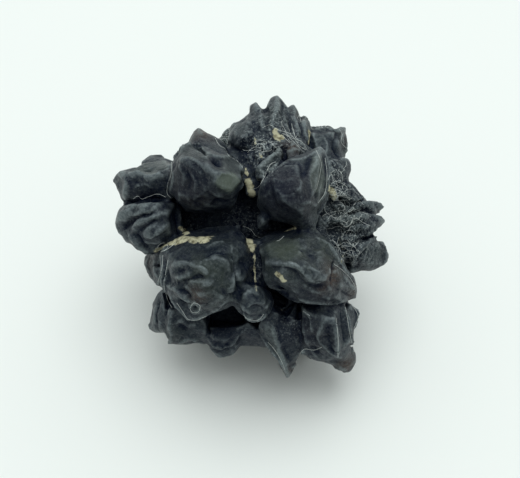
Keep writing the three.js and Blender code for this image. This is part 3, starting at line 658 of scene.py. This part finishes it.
# ---------------- clay
# Cream clay left in the creases: pixels of the picture, its half width in mm and its amount.
CLAY = {
    "crevice, left": ([(178, 242), (185, 239), (196, 240), (204, 240)], 1.5, 1.0),
    "crevice, left end": ([(157, 250), (163, 247), (170, 244), (178, 241)], 1.1, 0.7),
    "crevice, left tail": ([(204, 239), (209, 238), (213, 237)], 0.5, 0.7),
    "between the upper blocks": ([(246, 169), (247, 175)], 0.5, 0.75),
    "between the upper blocks, low": ([(248, 181), (251, 189), (252, 196)], 0.85, 1.0),
    "between the lower blocks": ([(248, 240), (252, 249)], 1.0, 0.95),
    "between the lower blocks, low": ([(254, 253), (254, 266), (255, 278), (256, 291)], 0.45, 0.72),
    "under the wave": ([(278, 274), (281, 277), (283, 280)], 0.9, 0.85),
    "above the plate": ([(288, 231), (296, 228)], 0.9, 0.85),
    "crevice, upper lobe": ([(181, 229), (187, 234)], 0.8, 0.85),
    "flank's patch": ([(329, 188), (333, 193), (334, 198)], 0.9, 0.85),
    "crown's foot": ([(275, 131), (277, 138), (282, 138)], 0.75, 0.95),
    "crown's foot, left": ([(254, 137), (256, 144)], 0.4, 0.7),
    "crown's foot, low": ([(259, 153), (262, 158)], 0.4, 0.6),
    "crown's side": ([(309, 132), (308, 143)], 0.6, 0.8),
    "in the lower hollow": ([(281, 304), (283, 318)], 0.5, 0.5),
    "flank's foot": ([(340, 240), (343, 252), (341, 262)], 0.5, 0.55),
}
CLAY_REACH = 2  # half widths beyond which there is none
CLAY_POWER = 1.8
CLAY_END = 1  # clay doesn't fade at its ends
CLAY_SHELTER = (0.55, 0.75)  # behind, clay begins at this shelter, and is full
CLAY_HEIGHT = 0.25  # mm


def clay_amounts(surface):
    amounts = np.zeros(len(surface.places))
    for points, width, amount in CLAY.values():
        closeness = trace(surface, points, width * MM, CLAY_REACH, CLAY_POWER, CLAY_END)
        for i, close in closeness.items():
            amounts[i] = max(amounts[i], amount * close)
    return amounts


deep_behind = behind * smooth_step(shelter, *CLAY_SHELTER)
clay = np.maximum(clay_amounts(surface), patches(surface, deep_behind, "clay"))

# ---------------- tarnish and wear, with painted light and shade
RUST_PLACES = {
    "shoulder's point": (199, 130, 2.5, 1.0),
    "plate": (331, 276, 2.5, 0.9),
    "plate, low": (322, 290, 1.2, 0.7),
    "plate's point": (354, 292, 2.2, 0.7),
    "front block": (197, 296, 2.0, 0.7),
    "right corner": (347, 366, 2.5, 0.9),
    "spike's point": (288, 374, 2.0, 0.7),
    "brown knob": (290, 148, 2.5, 0.8),
    "left rear": (150, 262, 3.0, 0.4),
}
BROWN_PLACES = {
    "upper left block's front": (190, 190, 6, 1.0),
    "upper right block's face": (285, 190, 6, 1.0),
    "lower right wedge": (310, 335, 4, 0.8),
    "plate's under": (315, 298, 4, 0.6),
    "left corner, low": (135, 200, 3, 0.5),
}
OLIVE_PLACES = {
    "front left block": (215, 270, 7, 0.9),
    "plate": (285, 250, 6, 1.0),
    "plate, right": (325, 250, 5, 0.9),
    "block's light facet": (227, 183, 2.5, 1.0),
    "right block's side": (320, 195, 4, 0.7),
    "lower left": (175, 335, 5, 0.5),
}
# Painted shade: spots darkened where shade falls, on fronts facing away from the lamp, under overhangs, in
# folds and in holes.
PAINTED_SHADE_PLACES = {
    "upper left block's front": (194, 182, 5.0, 1.0),
    "upper left block's lower side": (200, 200, 4.5, 0.55),
    "upper left block's top": (190, 155, 2.6, 0.25),
    "right block's left face": (278, 190, 5.5, 1.0),
    "right block's upper face": (296, 172, 3.0, 0.8),
    "right block's foot": (295, 212, 3.5, 0.6),
    "left corner's front": (146, 186, 3.2, 0.3),
    "left knob's lower side": (138, 238, 3.0, 0.5),
    "left knob": (148, 230, 4.0, 0.4),
    "left block's right slope": (246, 272, 4.0, 0.7),
    "under the plate": (286, 298, 3.2, 1.0),
    "plate's lower side": (312, 294, 3.2, 0.6),
    "lower middle crystal": (224, 336, 5.0, 1.0),
    "lower middle crystal, right": (250, 336, 4.0, 0.7),
    "middle knob": (254, 300, 3.5, 0.6),
    "lower wedge": (308, 335, 4.5, 0.6),
    "spike": (282, 335, 3.5, 0.35),
    "block's long dent": (199, 146, 0.9, 1.0),
    "block's long dent, low": (204, 151, 0.9, 1.0),
    "block's pit": (217, 163, 0.9, 1.0),
    "front block's left": (182, 262, 3.5, 0.35),
    "front block's upper shade": (185, 253, 2.0, 0.5),
    "front block's top": (214, 254, 3.0, 1.0),
    "front block's middle": (215, 290, 4.0, 0.25),
    "front block's fold shade": (181, 271, 1.0, 0.6),
    "front block's patch": (184, 291, 1.4, 0.7),
    "front block's slot": (184, 302, 0.9, 0.8),
    "crown, low": (272, 122, 5.0, 0.4),
    "top right crystal": (332, 146, 2.5, 0.4),
    "flank, upper": (343, 200, 6.0, 0.85),
    "flank, lower": (350, 238, 6.0, 0.85),
    "below the wave": (300, 284, 2.6, 0.4),
    "plate's shade": (274, 265, 1.8, 0.85),
    "plate's left": (266, 258, 1.6, 0.5),
    "side": (346, 334, 3.0, 0.5),
    "lower left dent": (186, 328, 4.0, 0.8),
    "lower left leaf": (158, 318, 3.0, 0.25),
    "crown's blue facet": (243, 143, 2.5, 0.8),
    "spike's right": (290, 338, 3.5, 0.7),
    "triangle": (329, 338, 3.0, 0.5),
    "crevice floor": (215, 220, 5.0, 0.6),
    "flank's holes": (334, 229, 2.2, 1.0),
    "flank's upper hole": (347, 217, 1.6, 0.9),
    "flank's left hole": (320, 209, 2.0, 0.9),
    "crown's foot hollow": (244, 155, 2.5, 0.9),
}
# Painted light: lighter spots on the crown and the flank.
PAINTED_LIGHT_PLACES = {
    "crown": (276, 114, 4.0, 0.12),
    "flank": (344, 215, 4.5, 0.2),
}
SPOT_SHADE_LOSS = 2  # a facet painted light loses the painted shade of the spots by this times its tone
STANDING = {3: 0.7, 10: 0.45}  # rounds of evening, and how much that curvature counts
CREST = (0.05, 0.19)  # mm that a vertex stands out by, where a crest begins and is full
CREST_MOST = 0.8
CREASE = (0.03, 0.15)  # mm that it lies in by
CREASE_MOST = 0.85
TRIANGLES = 190_000  # of the finished surface

painted_shade_spots = spots(surface, PAINTED_SHADE_PLACES) * (1 - np.clip(SPOT_SHADE_LOSS * tones, 0, 1))
amounts = {
    # painted shade: of the spots, and of the facets shaded for how they face the lamp
    "painted_shade": np.maximum(painted_shade_spots, -tones),
    # painted light: of the spots, and of the facets lit for how they face the lamp
    "light": np.maximum(spots(surface, PAINTED_LIGHT_PLACES), tones),
    "rust": np.maximum(spots(surface, RUST_PLACES), patches(surface, behind, "rust")),
    "brown": np.maximum(spots(surface, BROWN_PLACES), patches(surface, behind, "brown")),
    "olive": np.maximum(spots(surface, OLIVE_PLACES), patches(surface, behind, "olive")),
    "clay": clay,
    "rough": rough,
    "shelter": shelter,
}
surface.push(clay * CLAY_HEIGHT * MM)
standing = sum(share * surface.curvature(rounds) for rounds, share in STANDING.items())
# crests, lightened with a painted highlight and made shinier
amounts["crest"] = CREST_MOST * smooth_step(standing, *CREST)
# creases, darkened with painted shade
amounts["crease"] = CREASE_MOST * smooth_step(-standing, *CREASE)


def thinned(piece, fine, amounts):
    """Thins the surface where it is flattest, and hands the amounts on to what is left."""
    fine.mesh.calc_loop_triangles()
    thin = piece.modifiers.new("thin", "DECIMATE")
    thin.ratio = TRIANGLES / len(fine.mesh.loop_triangles)
    apply_modifiers(piece)
    rest = Surface(piece)
    nearest = [fine.near.find(place)[1] for place in rest.places]
    for name, values in amounts.items():
        layer = rest.mesh.attributes.new(name, "FLOAT", "POINT")
        layer.data.foreach_set("value", np.clip(values[nearest], 0, 1).astype(np.float32))
    return rest


fine_surface = surface
surface = thinned(nodule, fine_surface, amounts)

# ---------------- materials
BLACK_BLUE = (0.0042, 0.0070, 0.0180)
GREY_BLUE = (0.013, 0.018, 0.026)
PATCH = (0.050, 0.062, 0.062)
GRAIN = (0.050, 0.058, 0.060)
# the deep blue of the pores, and of all the painted shade
DEEP_PORE_AND_SHADE = (0.0014, 0.0042, 0.0150)
OLIVE = (0.023, 0.030, 0.023)
BROWN = (0.017, 0.014, 0.017)
RUST = (0.055, 0.030, 0.018)
# a painted highlight along the crests
CREST_HIGHLIGHT = (0.14, 0.166, 0.172)
# the painted light on lit facets and spots
PAINTED_LIGHT_FACET = (0.125, 0.150, 0.125)
# pale specks: dust, and painted glints
DUST_AND_GLINT = (0.42, 0.46, 0.45)
CLAY_LIGHT = (0.52, 0.50, 0.345)
CLAY_DARK = (0.13, 0.115, 0.068)
SHINE_TINT = (0.83, 0.95, 1.0)

BROWN_SHARE = 0.85
CREASE_SHADE_SHARE = 0.9
SPOT_SHADE_SHARE = 0.75
PAINTED_SHADE_SHARE = 0.92
PAINTED_LIGHT_SHARE = 0.9
CLAY_DULLNESS = 0.45
GRAIN_STRENGTH = 0.5
GRAIN_DEPTH = 0.10 * MM
CRUMBLE_DEPTH = 0.45 * MM

PER_METRE = 1000.0  # noises a metre, of one a mm
NOISES = {  # how many there are a mm, their detail and their roughness
    "mottle": (0.35, 5.0, 0.55),
    "speckle": (2.2, 3.0, 0.55),
    "patches": (1.0, 5.0, 0.6),
    "grains": (2.4, 3.0, 0.6),
    "dust_and_glints": (3.0, 2.0, 0.6),
    "clay": (1.1, 5.0, 0.65),
    "gloss": (0.6, 4.0, 0.55),
    "crumble": (0.9, 5.0, 0.62),
    "wear": (1.5, 5.0, 0.65),
}
RANGES = {  # a value's low and high, and what they become
    "grey blue": (0.40, 0.62, 0.0, 1.0),
    "patch": (0.46, 0.64, 0.0, 0.5),
    "grain": (0.50, 0.66, 0.0, 0.55),
    "pore": (0.36, 0.48, 0.6, 0.0),
    "olive": (0.35, 0.6, 0.4, 1.0),
    "rust": (0.35, 0.6, 0.35, 1.0),
    "crest": (0.3, 0.6, 0.35, 1.0),
    # how far the sheltered places are darkened with painted shade
    "shelter": (0.3, 0.85, 0.0, 0.72),
    "dust_and_glints": (0.585, 0.655, 0.0, 1.0),
    "dust in shelter": (0.55, 0.95, 1.0, 0.3),
    "dust on rough places": (0.0, 1.0, 0.06, 0.9),
    "clay's raggedness": (0.3, 0.7, -0.21, 0.21),
    "clay": (0.46, 0.60, 0.0, 1.0),
    "light clay": (0.34, 0.56, 0.0, 1.0),
    "roughness": (0.3, 0.7, 0.32, 0.50),
    "crumble": (0.0, 1.0, 0.55, 1.0),
    "shine": (0.36, 0.64, 0.15, 0.60),
    "shine on a crest": (0.0, 1.0, 0.85, 1.9),
    "shine in a crease": (0.0, 1.0, 1.0, 0.3),
    "shine in the dark": (0.0, 1.0, 1.0, 0.22),
    "sky": (-0.2, 0.95, 0.22, 1.08),
}
MIX_A = 6  # sockets of a colour mix
MIX_B = 7
MIX_RESULT = 2


class Nodes:
    """Makes and links a material's nodes."""

    def __init__(self, material):
        material.use_nodes = True
        self.tree = material.node_tree
        self.tree.nodes.clear()

    def add(self, kind, inputs=None, **settings):
        node = self.tree.nodes.new(kind)
        for key, value in settings.items():
            setattr(node, key, value)
        for key, value in (inputs or {}).items():
            if isinstance(value, bpy.types.NodeSocket):
                self.tree.links.new(value, node.inputs[key])
            else:
                node.inputs[key].default_value = value
        return node

    def amount(self, name):
        return self.add("ShaderNodeAttribute", attribute_name=name).outputs["Fac"]

    def noise(self, place, name):
        scale, detail, roughness = NOISES[name]
        inputs = {"Vector": place, "Scale": scale * PER_METRE, "Detail": detail, "Roughness": roughness}
        return self.add("ShaderNodeTexNoise", inputs).outputs["Fac"]

    def mix(self, share, a, b):
        """The colour that is a where the share is 0, and b where it is 1."""
        start = a if isinstance(a, bpy.types.NodeSocket) else (*a, 1)
        end = b if isinstance(b, bpy.types.NodeSocket) else (*b, 1)
        inputs = {"Factor": share, MIX_A: start, MIX_B: end}
        return self.add("ShaderNodeMix", inputs, data_type="RGBA").outputs[MIX_RESULT]

    def math(self, operation, a, b):
        return self.add("ShaderNodeMath", {0: a, 1: b}, operation=operation).outputs[0]

    def product(self, a, b):
        return self.math("MULTIPLY", a, b)

    def between(self, value, name):
        low, high, to_low, to_high = RANGES[name]
        inputs = {"Value": value, "From Min": low, "From Max": high, "To Min": to_low, "To Max": to_high}
        return self.add("ShaderNodeMapRange", inputs).outputs[0]

    def finish(self, shader):
        self.add("ShaderNodeOutputMaterial", {"Surface": shader.outputs[0]})


def tarnish(n, place, painted_shade):
    """The colour of the bare crystals, layer on layer, with painted shade in the creases, shelter and
    shaded spots, painted light on the lit facets and painted highlights on the crests.
    """
    mottle = n.noise(place, "mottle")
    speckle = n.noise(place, "speckle")
    grains = n.noise(place, "grains")
    layers = [
        (n.between(n.noise(place, "patches"), "patch"), PATCH),
        (n.between(grains, "grain"), GRAIN),
        (n.between(grains, "pore"), DEEP_PORE_AND_SHADE),
        (n.product(n.amount("olive"), n.between(mottle, "olive")), OLIVE),
        (n.product(n.amount("brown"), BROWN_SHARE), BROWN),
        (n.product(n.amount("rust"), n.between(speckle, "rust")), RUST),
        (n.product(n.amount("crest"), n.between(speckle, "crest")), CREST_HIGHLIGHT),
        (n.product(n.amount("crease"), CREASE_SHADE_SHARE), DEEP_PORE_AND_SHADE),
        (n.product(painted_shade, PAINTED_SHADE_SHARE), DEEP_PORE_AND_SHADE),
        (n.product(n.amount("light"), PAINTED_LIGHT_SHARE), PAINTED_LIGHT_FACET),
    ]
    colour = n.mix(n.between(mottle, "grey blue"), BLACK_BLUE, GREY_BLUE)
    for share, layer in layers:
        colour = n.mix(share, colour, layer)
    return colour


def dust_and_glints(n, place):
    """Pale specks, partly dust and partly painted glints, most of them on the rough places and few in
    shelter.
    """
    specks = n.between(n.noise(place, "dust_and_glints"), "dust_and_glints")
    specks = n.product(specks, n.between(n.amount("shelter"), "dust in shelter"))
    return n.product(specks, n.between(n.amount("rough"), "dust on rough places"))


def clay_cover(n, place):
    """How far clay covers the crystals, with a ragged edge."""
    raggedness = n.between(n.noise(place, "patches"), "clay's raggedness")
    return n.between(n.math("ADD", n.amount("clay"), raggedness), "clay")


def skin_normal(n, place):
    """The fine grain of the skin, and the crumble over it."""
    grain = {"Height": n.noise(place, "grains"), "Strength": GRAIN_STRENGTH, "Distance": GRAIN_DEPTH}
    crumble = {
        "Height": n.noise(place, "crumble"),
        "Strength": n.between(n.amount("rough"), "crumble"),
        "Distance": CRUMBLE_DEPTH,
        "Normal": n.add("ShaderNodeBump", grain).outputs[0],
    }
    return n.add("ShaderNodeBump", crumble).outputs[0]


def shine(n, place, painted_shade):
    """How much the crystals mirror: most where they are worn."""
    level = n.between(n.noise(place, "wear"), "shine")
    level = n.product(level, n.between(n.amount("crest"), "shine on a crest"))
    level = n.product(level, n.between(n.amount("crease"), "shine in a crease"))
    return n.product(level, n.between(painted_shade, "shine in the dark"))


def marcasite():
    material = bpy.data.materials.new("marcasite")
    n = Nodes(material)
    place = n.add("ShaderNodeTexCoord").outputs["Object"]
    # painted shade: of the spots, and of the sheltered places
    spot_shade = n.product(n.amount("painted_shade"), SPOT_SHADE_SHARE)
    painted_shade = n.math("MAXIMUM", n.between(n.amount("shelter"), "shelter"), spot_shade)
    clay = clay_cover(n, place)
    clay_colour = n.mix(n.between(n.noise(place, "clay"), "light clay"), CLAY_DARK, CLAY_LIGHT)
    colour = n.mix(dust_and_glints(n, place), tarnish(n, place, painted_shade), DUST_AND_GLINT)
    roughness = n.between(n.noise(place, "gloss"), "roughness")
    inputs = {
        "Base Color": n.mix(clay, colour, clay_colour),
        "Roughness": n.math("ADD", roughness, n.product(clay, CLAY_DULLNESS)),
        "Normal": skin_normal(n, place),
        "Specular IOR Level": shine(n, place, painted_shade),
        "Specular Tint": (*SHINE_TINT, 1),
    }
    n.finish(n.add("ShaderNodeBsdfPrincipled", inputs))
    return material


def plain(name, colour, roughness):
    material = bpy.data.materials.new(name)
    n = Nodes(material)
    n.finish(n.add("ShaderNodeBsdfPrincipled", {"Base Color": (*colour, 1), "Roughness": roughness}))
    return material


nodule.data.materials.clear()
nodule.data.materials.append(marcasite())
for polygon in nodule.data.polygons:
    polygon.use_smooth = True
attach(nodule, "root")
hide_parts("nodule")

# ---------------- lint, and pale lines for painted glints along edges
# Pale fibres, as pixels of the picture: lint and debris in the cracks and on the flank, and pale lines
# along the ridges, rims and edges that are painted glints.
LINT_AND_EDGE_GLINT_LINES = {
    "crack beside the corner crystal": [
        (171, 158), (172, 166), (171, 175), (168, 184), (167, 193), (171, 198),
    ],
    "above the left knob": [(133, 199), (138, 196), (142, 199), (150, 196), (158, 194), (166, 197)],
    "slab's crack": [(250, 190), (258, 187), (264, 178), (270, 165), (276, 162)],
    "block's jagged side": [(215, 138), (219, 145), (225, 149), (229, 156), (236, 160), (243, 168)],
    "front block's side 1": [(163, 255), (162, 268), (158, 282)],
    "front block's side 2": [(168, 260), (166, 272), (164, 284), (167, 298), (172, 308)],
    "front block's ring": [(190, 308), (194, 303), (200, 306), (198, 312), (192, 312), (190, 308)],
    "front block's corner": [(177, 303), (183, 312), (188, 319), (197, 320), (206, 316)],
    "button's rim": [(243, 314), (248, 319), (258, 320), (264, 314)],
    "crevice's fibre, left": [(243, 226), (248, 228), (252, 231), (256, 236), (262, 238)],
    "crevice's fibre, right": [(277, 241), (280, 240), (284, 236)],
    "crevice's left debris": [(157, 248), (160, 244), (165, 243), (168, 247), (163, 251), (158, 250)],
    "crevice's left debris, low": [(160, 252), (166, 250), (172, 246), (176, 243)],
    "glint under the plate": [(303, 311), (306, 313), (310, 316)],
    "triangle's edge": [(336, 318), (338, 338), (338, 357)],
    "side's edge": [(345, 306), (348, 322), (351, 340), (354, 352)],
    "side's second edge": [(350, 303), (356, 311), (358, 318), (354, 328)],
    "spike's left edge": [(268, 342), (275, 350), (281, 360), (285, 370)],
    "from spike to corner": [(299, 354), (305, 349), (314, 350), (322, 347)],
    "plate's crest": [(333, 240), (340, 250), (345, 262)],
    "plate's point": [(334, 264), (342, 270), (350, 278), (356, 288)],
    "crown's foot 1": [(262, 128), (270, 125), (278, 130), (290, 134), (300, 146), (306, 150)],
    "crown's foot 2": [(283, 126), (289, 137), (297, 145), (303, 152)],
    "crown's foot 3": [(255, 150), (258, 144), (264, 146), (262, 154), (257, 157)],
    "crown's foot 4": [(292, 128), (296, 138), (303, 143), (307, 150)],
    "crown's edge": [(286, 103), (293, 104), (298, 112), (301, 122)],
    "right block's ridge": [(316, 150), (321, 163), (319, 178), (316, 190)],
    "right block's outer ridge": [(325, 158), (327, 175), (325, 192), (318, 203)],
    "flank's loop 1": [(328, 180), (331, 173), (337, 170), (341, 174), (340, 182)],
    "flank's loop 2": [(329, 187), (334, 182), (341, 183), (347, 188), (343, 194)],
    "flank's loop 3": [(330, 198), (336, 190), (343, 193), (350, 200)],
    "flank's strand 1": [(352, 207), (358, 201), (364, 205)],
    "flank's strand 2": [(345, 214), (352, 209), (362, 212), (371, 217)],
    "flank's strand 3": [(350, 225), (356, 218), (362, 222), (370, 226)],
    "flank's strand 4": [(345, 236), (350, 228), (352, 220)],
    "flank's strand 5": [(338, 246), (346, 242), (354, 246), (360, 240)],
    "flank's strand 6": [(340, 262), (346, 252), (354, 250)],
    "top right's edge": [(338, 128), (342, 134), (341, 142), (346, 148)],
}
LINT_AND_GLINT_COLOUR = (0.66, 0.70, 0.68)
LINT_ROUGHNESS = 0.6
LINT_RADIUS = 0.036 * MM
LINT_LIFT = 0.03 * MM  # of a fibre's middle over the surface
LINT_GAP = 1.2 * MM  # a longer step is over an edge, so the fibre ends there
LEAST_PLACES = 3  # of a fibre that is drawn
WELD_DISTANCE = 0.001 * MM
LINTY_PLACES = {
    "crown's foot": (258, 148, 2.2, 0.9),
    "crown's right foot": (292, 138, 2.4, 1.0),
    "flank top": (336, 178, 2.8, 1.0),
    "flank upper": (342, 194, 3.0, 1.0),
    "flank middle": (350, 215, 3.6, 1.0),
    "flank low": (348, 248, 3.2, 0.9),
}
LINT_BEHIND = 0.68  # of the roughness there
LINTY = 0.5  # loose fibres are caught where the amount of lint is above this
LOOSE_SEED = 7
LOOSE_FIBRES = 470
LOOSE_RADIUS = 0.85  # of a placed fibre's
LOOSE_STEP = 0.3 * MM
LOOSE_STEPS = (6, 18)
LOOSE_BEND = 0.13  # radians a step, all along a fibre
LOOSE_TURN = 0.28  # radians a step, of its own


def fibre_place(near, normal):
    """The middle of a fibre that lies on a place of the surface, above the ground."""
    place = near + normal * LINT_LIFT
    return Vector((place.x, place.y, max(place.z, LINT_RADIUS)))


def placed_fibres(surface):
    """The fibres and glint lines of the list, in pieces where they pass behind an edge."""
    fibres = []
    for points in LINT_AND_EDGE_GLINT_LINES.values():
        run = []
        for pixel in curve_through(points):
            place = surface.seen(*pixel)
            if place is None or (run and (place - run[-1]).length > LINT_GAP):
                fibres.append(run)
                run = []
            if place is not None:
                near, normal, _, _ = surface.rays.find_nearest(place)
                run.append(fibre_place(near, normal))
        fibres.append(run)
    return fibres


def loose_fibres(surface, linty):
    """Fibres that wander over the linty places, on every side."""
    chance = random.Random(LOOSE_SEED)
    homes = np.flatnonzero(linty > LINTY)
    fibres = []
    for _ in range(LOOSE_FIBRES):
        i = int(homes[chance.randrange(len(homes))])
        place = Vector(surface.places[i])
        normal = Vector(surface.normals[i])
        heading = normal.orthogonal().normalized()
        heading = Matrix.Rotation(chance.uniform(0, 2 * math.pi), 3, normal) @ heading
        bend = chance.uniform(-LOOSE_BEND, LOOSE_BEND)
        run = []
        for _ in range(chance.randint(*LOOSE_STEPS)):
            near, normal, _, _ = surface.rays.find_nearest(place)
            run.append(fibre_place(near, normal))
            turn = bend + chance.uniform(-LOOSE_TURN, LOOSE_TURN)
            heading = Matrix.Rotation(turn, 3, normal) @ heading
            heading = (heading - normal * heading.dot(normal)).normalized()
            place = near + heading * LOOSE_STEP
        fibres.append(run)
    return fibres


def weld(shape):
    """Joins each fibre's end caps to its tube."""
    bmesh.ops.remove_doubles(shape, verts=shape.verts, dist=WELD_DISTANCE)


def make_lint(placed, loose):
    data = bpy.data.curves.new("lint", "CURVE")
    data.dimensions = "3D"
    data.bevel_depth = LINT_RADIUS
    data.bevel_resolution = 0
    data.use_fill_caps = True
    for runs, radius in ((placed, 1), (loose, LOOSE_RADIUS)):
        for run in runs:
            if len(run) < LEAST_PLACES:
                continue
            spline = data.splines.new("POLY")
            spline.points.add(len(run) - 1)
            for point, place in zip(spline.points, run):
                point.co = (*place, 1)
                point.radius = radius
    drawn = linked("lint_drawn", data)
    lint = linked("lint", evaluated(drawn))
    bpy.data.objects.remove(drawn)
    edit(lint.data, weld)
    lint.data.materials.clear()
    lint.data.materials.append(plain("lint", LINT_AND_GLINT_COLOUR, LINT_ROUGHNESS))
    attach(lint, "root")


linty = np.maximum(spots(fine_surface, LINTY_PLACES), LINT_BEHIND * rough * behind)
make_lint(placed_fibres(surface), loose_fibres(fine_surface, linty))

# ---------------- floor and light
FLOOR_HALF = 3.0  # metres
FLOOR_COLOUR = (0.825, 0.850, 0.835)
FLOOR_ROUGHNESS = 0.8
WINDOW_PLACE = Vector((0.02, 0.07, 0.96))
WINDOW_SIZE = 1.0
WINDOW_POWER = 4.05  # watts
WINDOW_COLOUR = (0.96, 1.0, 0.99)
SKY_COLOUR = (0.95, 1.0, 0.98)
SKY_OVERHEAD = 0.85  # how much the sky brightens upwards
SKY_BEHIND = 0.45  # and towards the back


def make_floor():
    mesh = bpy.data.meshes.new("floor")
    corners = [(-1, -1), (1, -1), (1, 1), (-1, 1)]
    mesh.from_pydata([(x * FLOOR_HALF, y * FLOOR_HALF, 0) for x, y in corners], [], [(0, 1, 2, 3)])
    mesh.materials.append(plain("floor", FLOOR_COLOUR, FLOOR_ROUGHNESS))
    floor = linked("floor", mesh)


def make_window():
    data = bpy.data.lights.new("window", "AREA")
    data.shape = "DISK"
    data.size = WINDOW_SIZE
    data.energy = WINDOW_POWER
    data.color = WINDOW_COLOUR
    aimed("window", data, WINDOW_PLACE, NODULE_MIDDLE - WINDOW_PLACE)


def make_sky():
    """A soft sky, brightest overhead and behind, as under a ceiling of lamps."""
    world = bpy.data.worlds.new("sky")
    bpy.context.scene.world = world
    n = Nodes(world)
    direction = n.add("ShaderNodeTexCoord").outputs["Generated"]
    _, back, up = n.add("ShaderNodeSeparateXYZ", {0: direction}).outputs
    glow = n.between(n.math("ADD", n.product(up, SKY_OVERHEAD), n.product(back, SKY_BEHIND)), "sky")
    sky = n.add("ShaderNodeBackground", {"Color": (*SKY_COLOUR, 1), "Strength": glow})
    n.add("ShaderNodeOutputWorld", {"Surface": sky.outputs[0]})


make_floor()
make_window()
make_sky()
bpy.context.scene.view_settings.view_transform = "Standard"
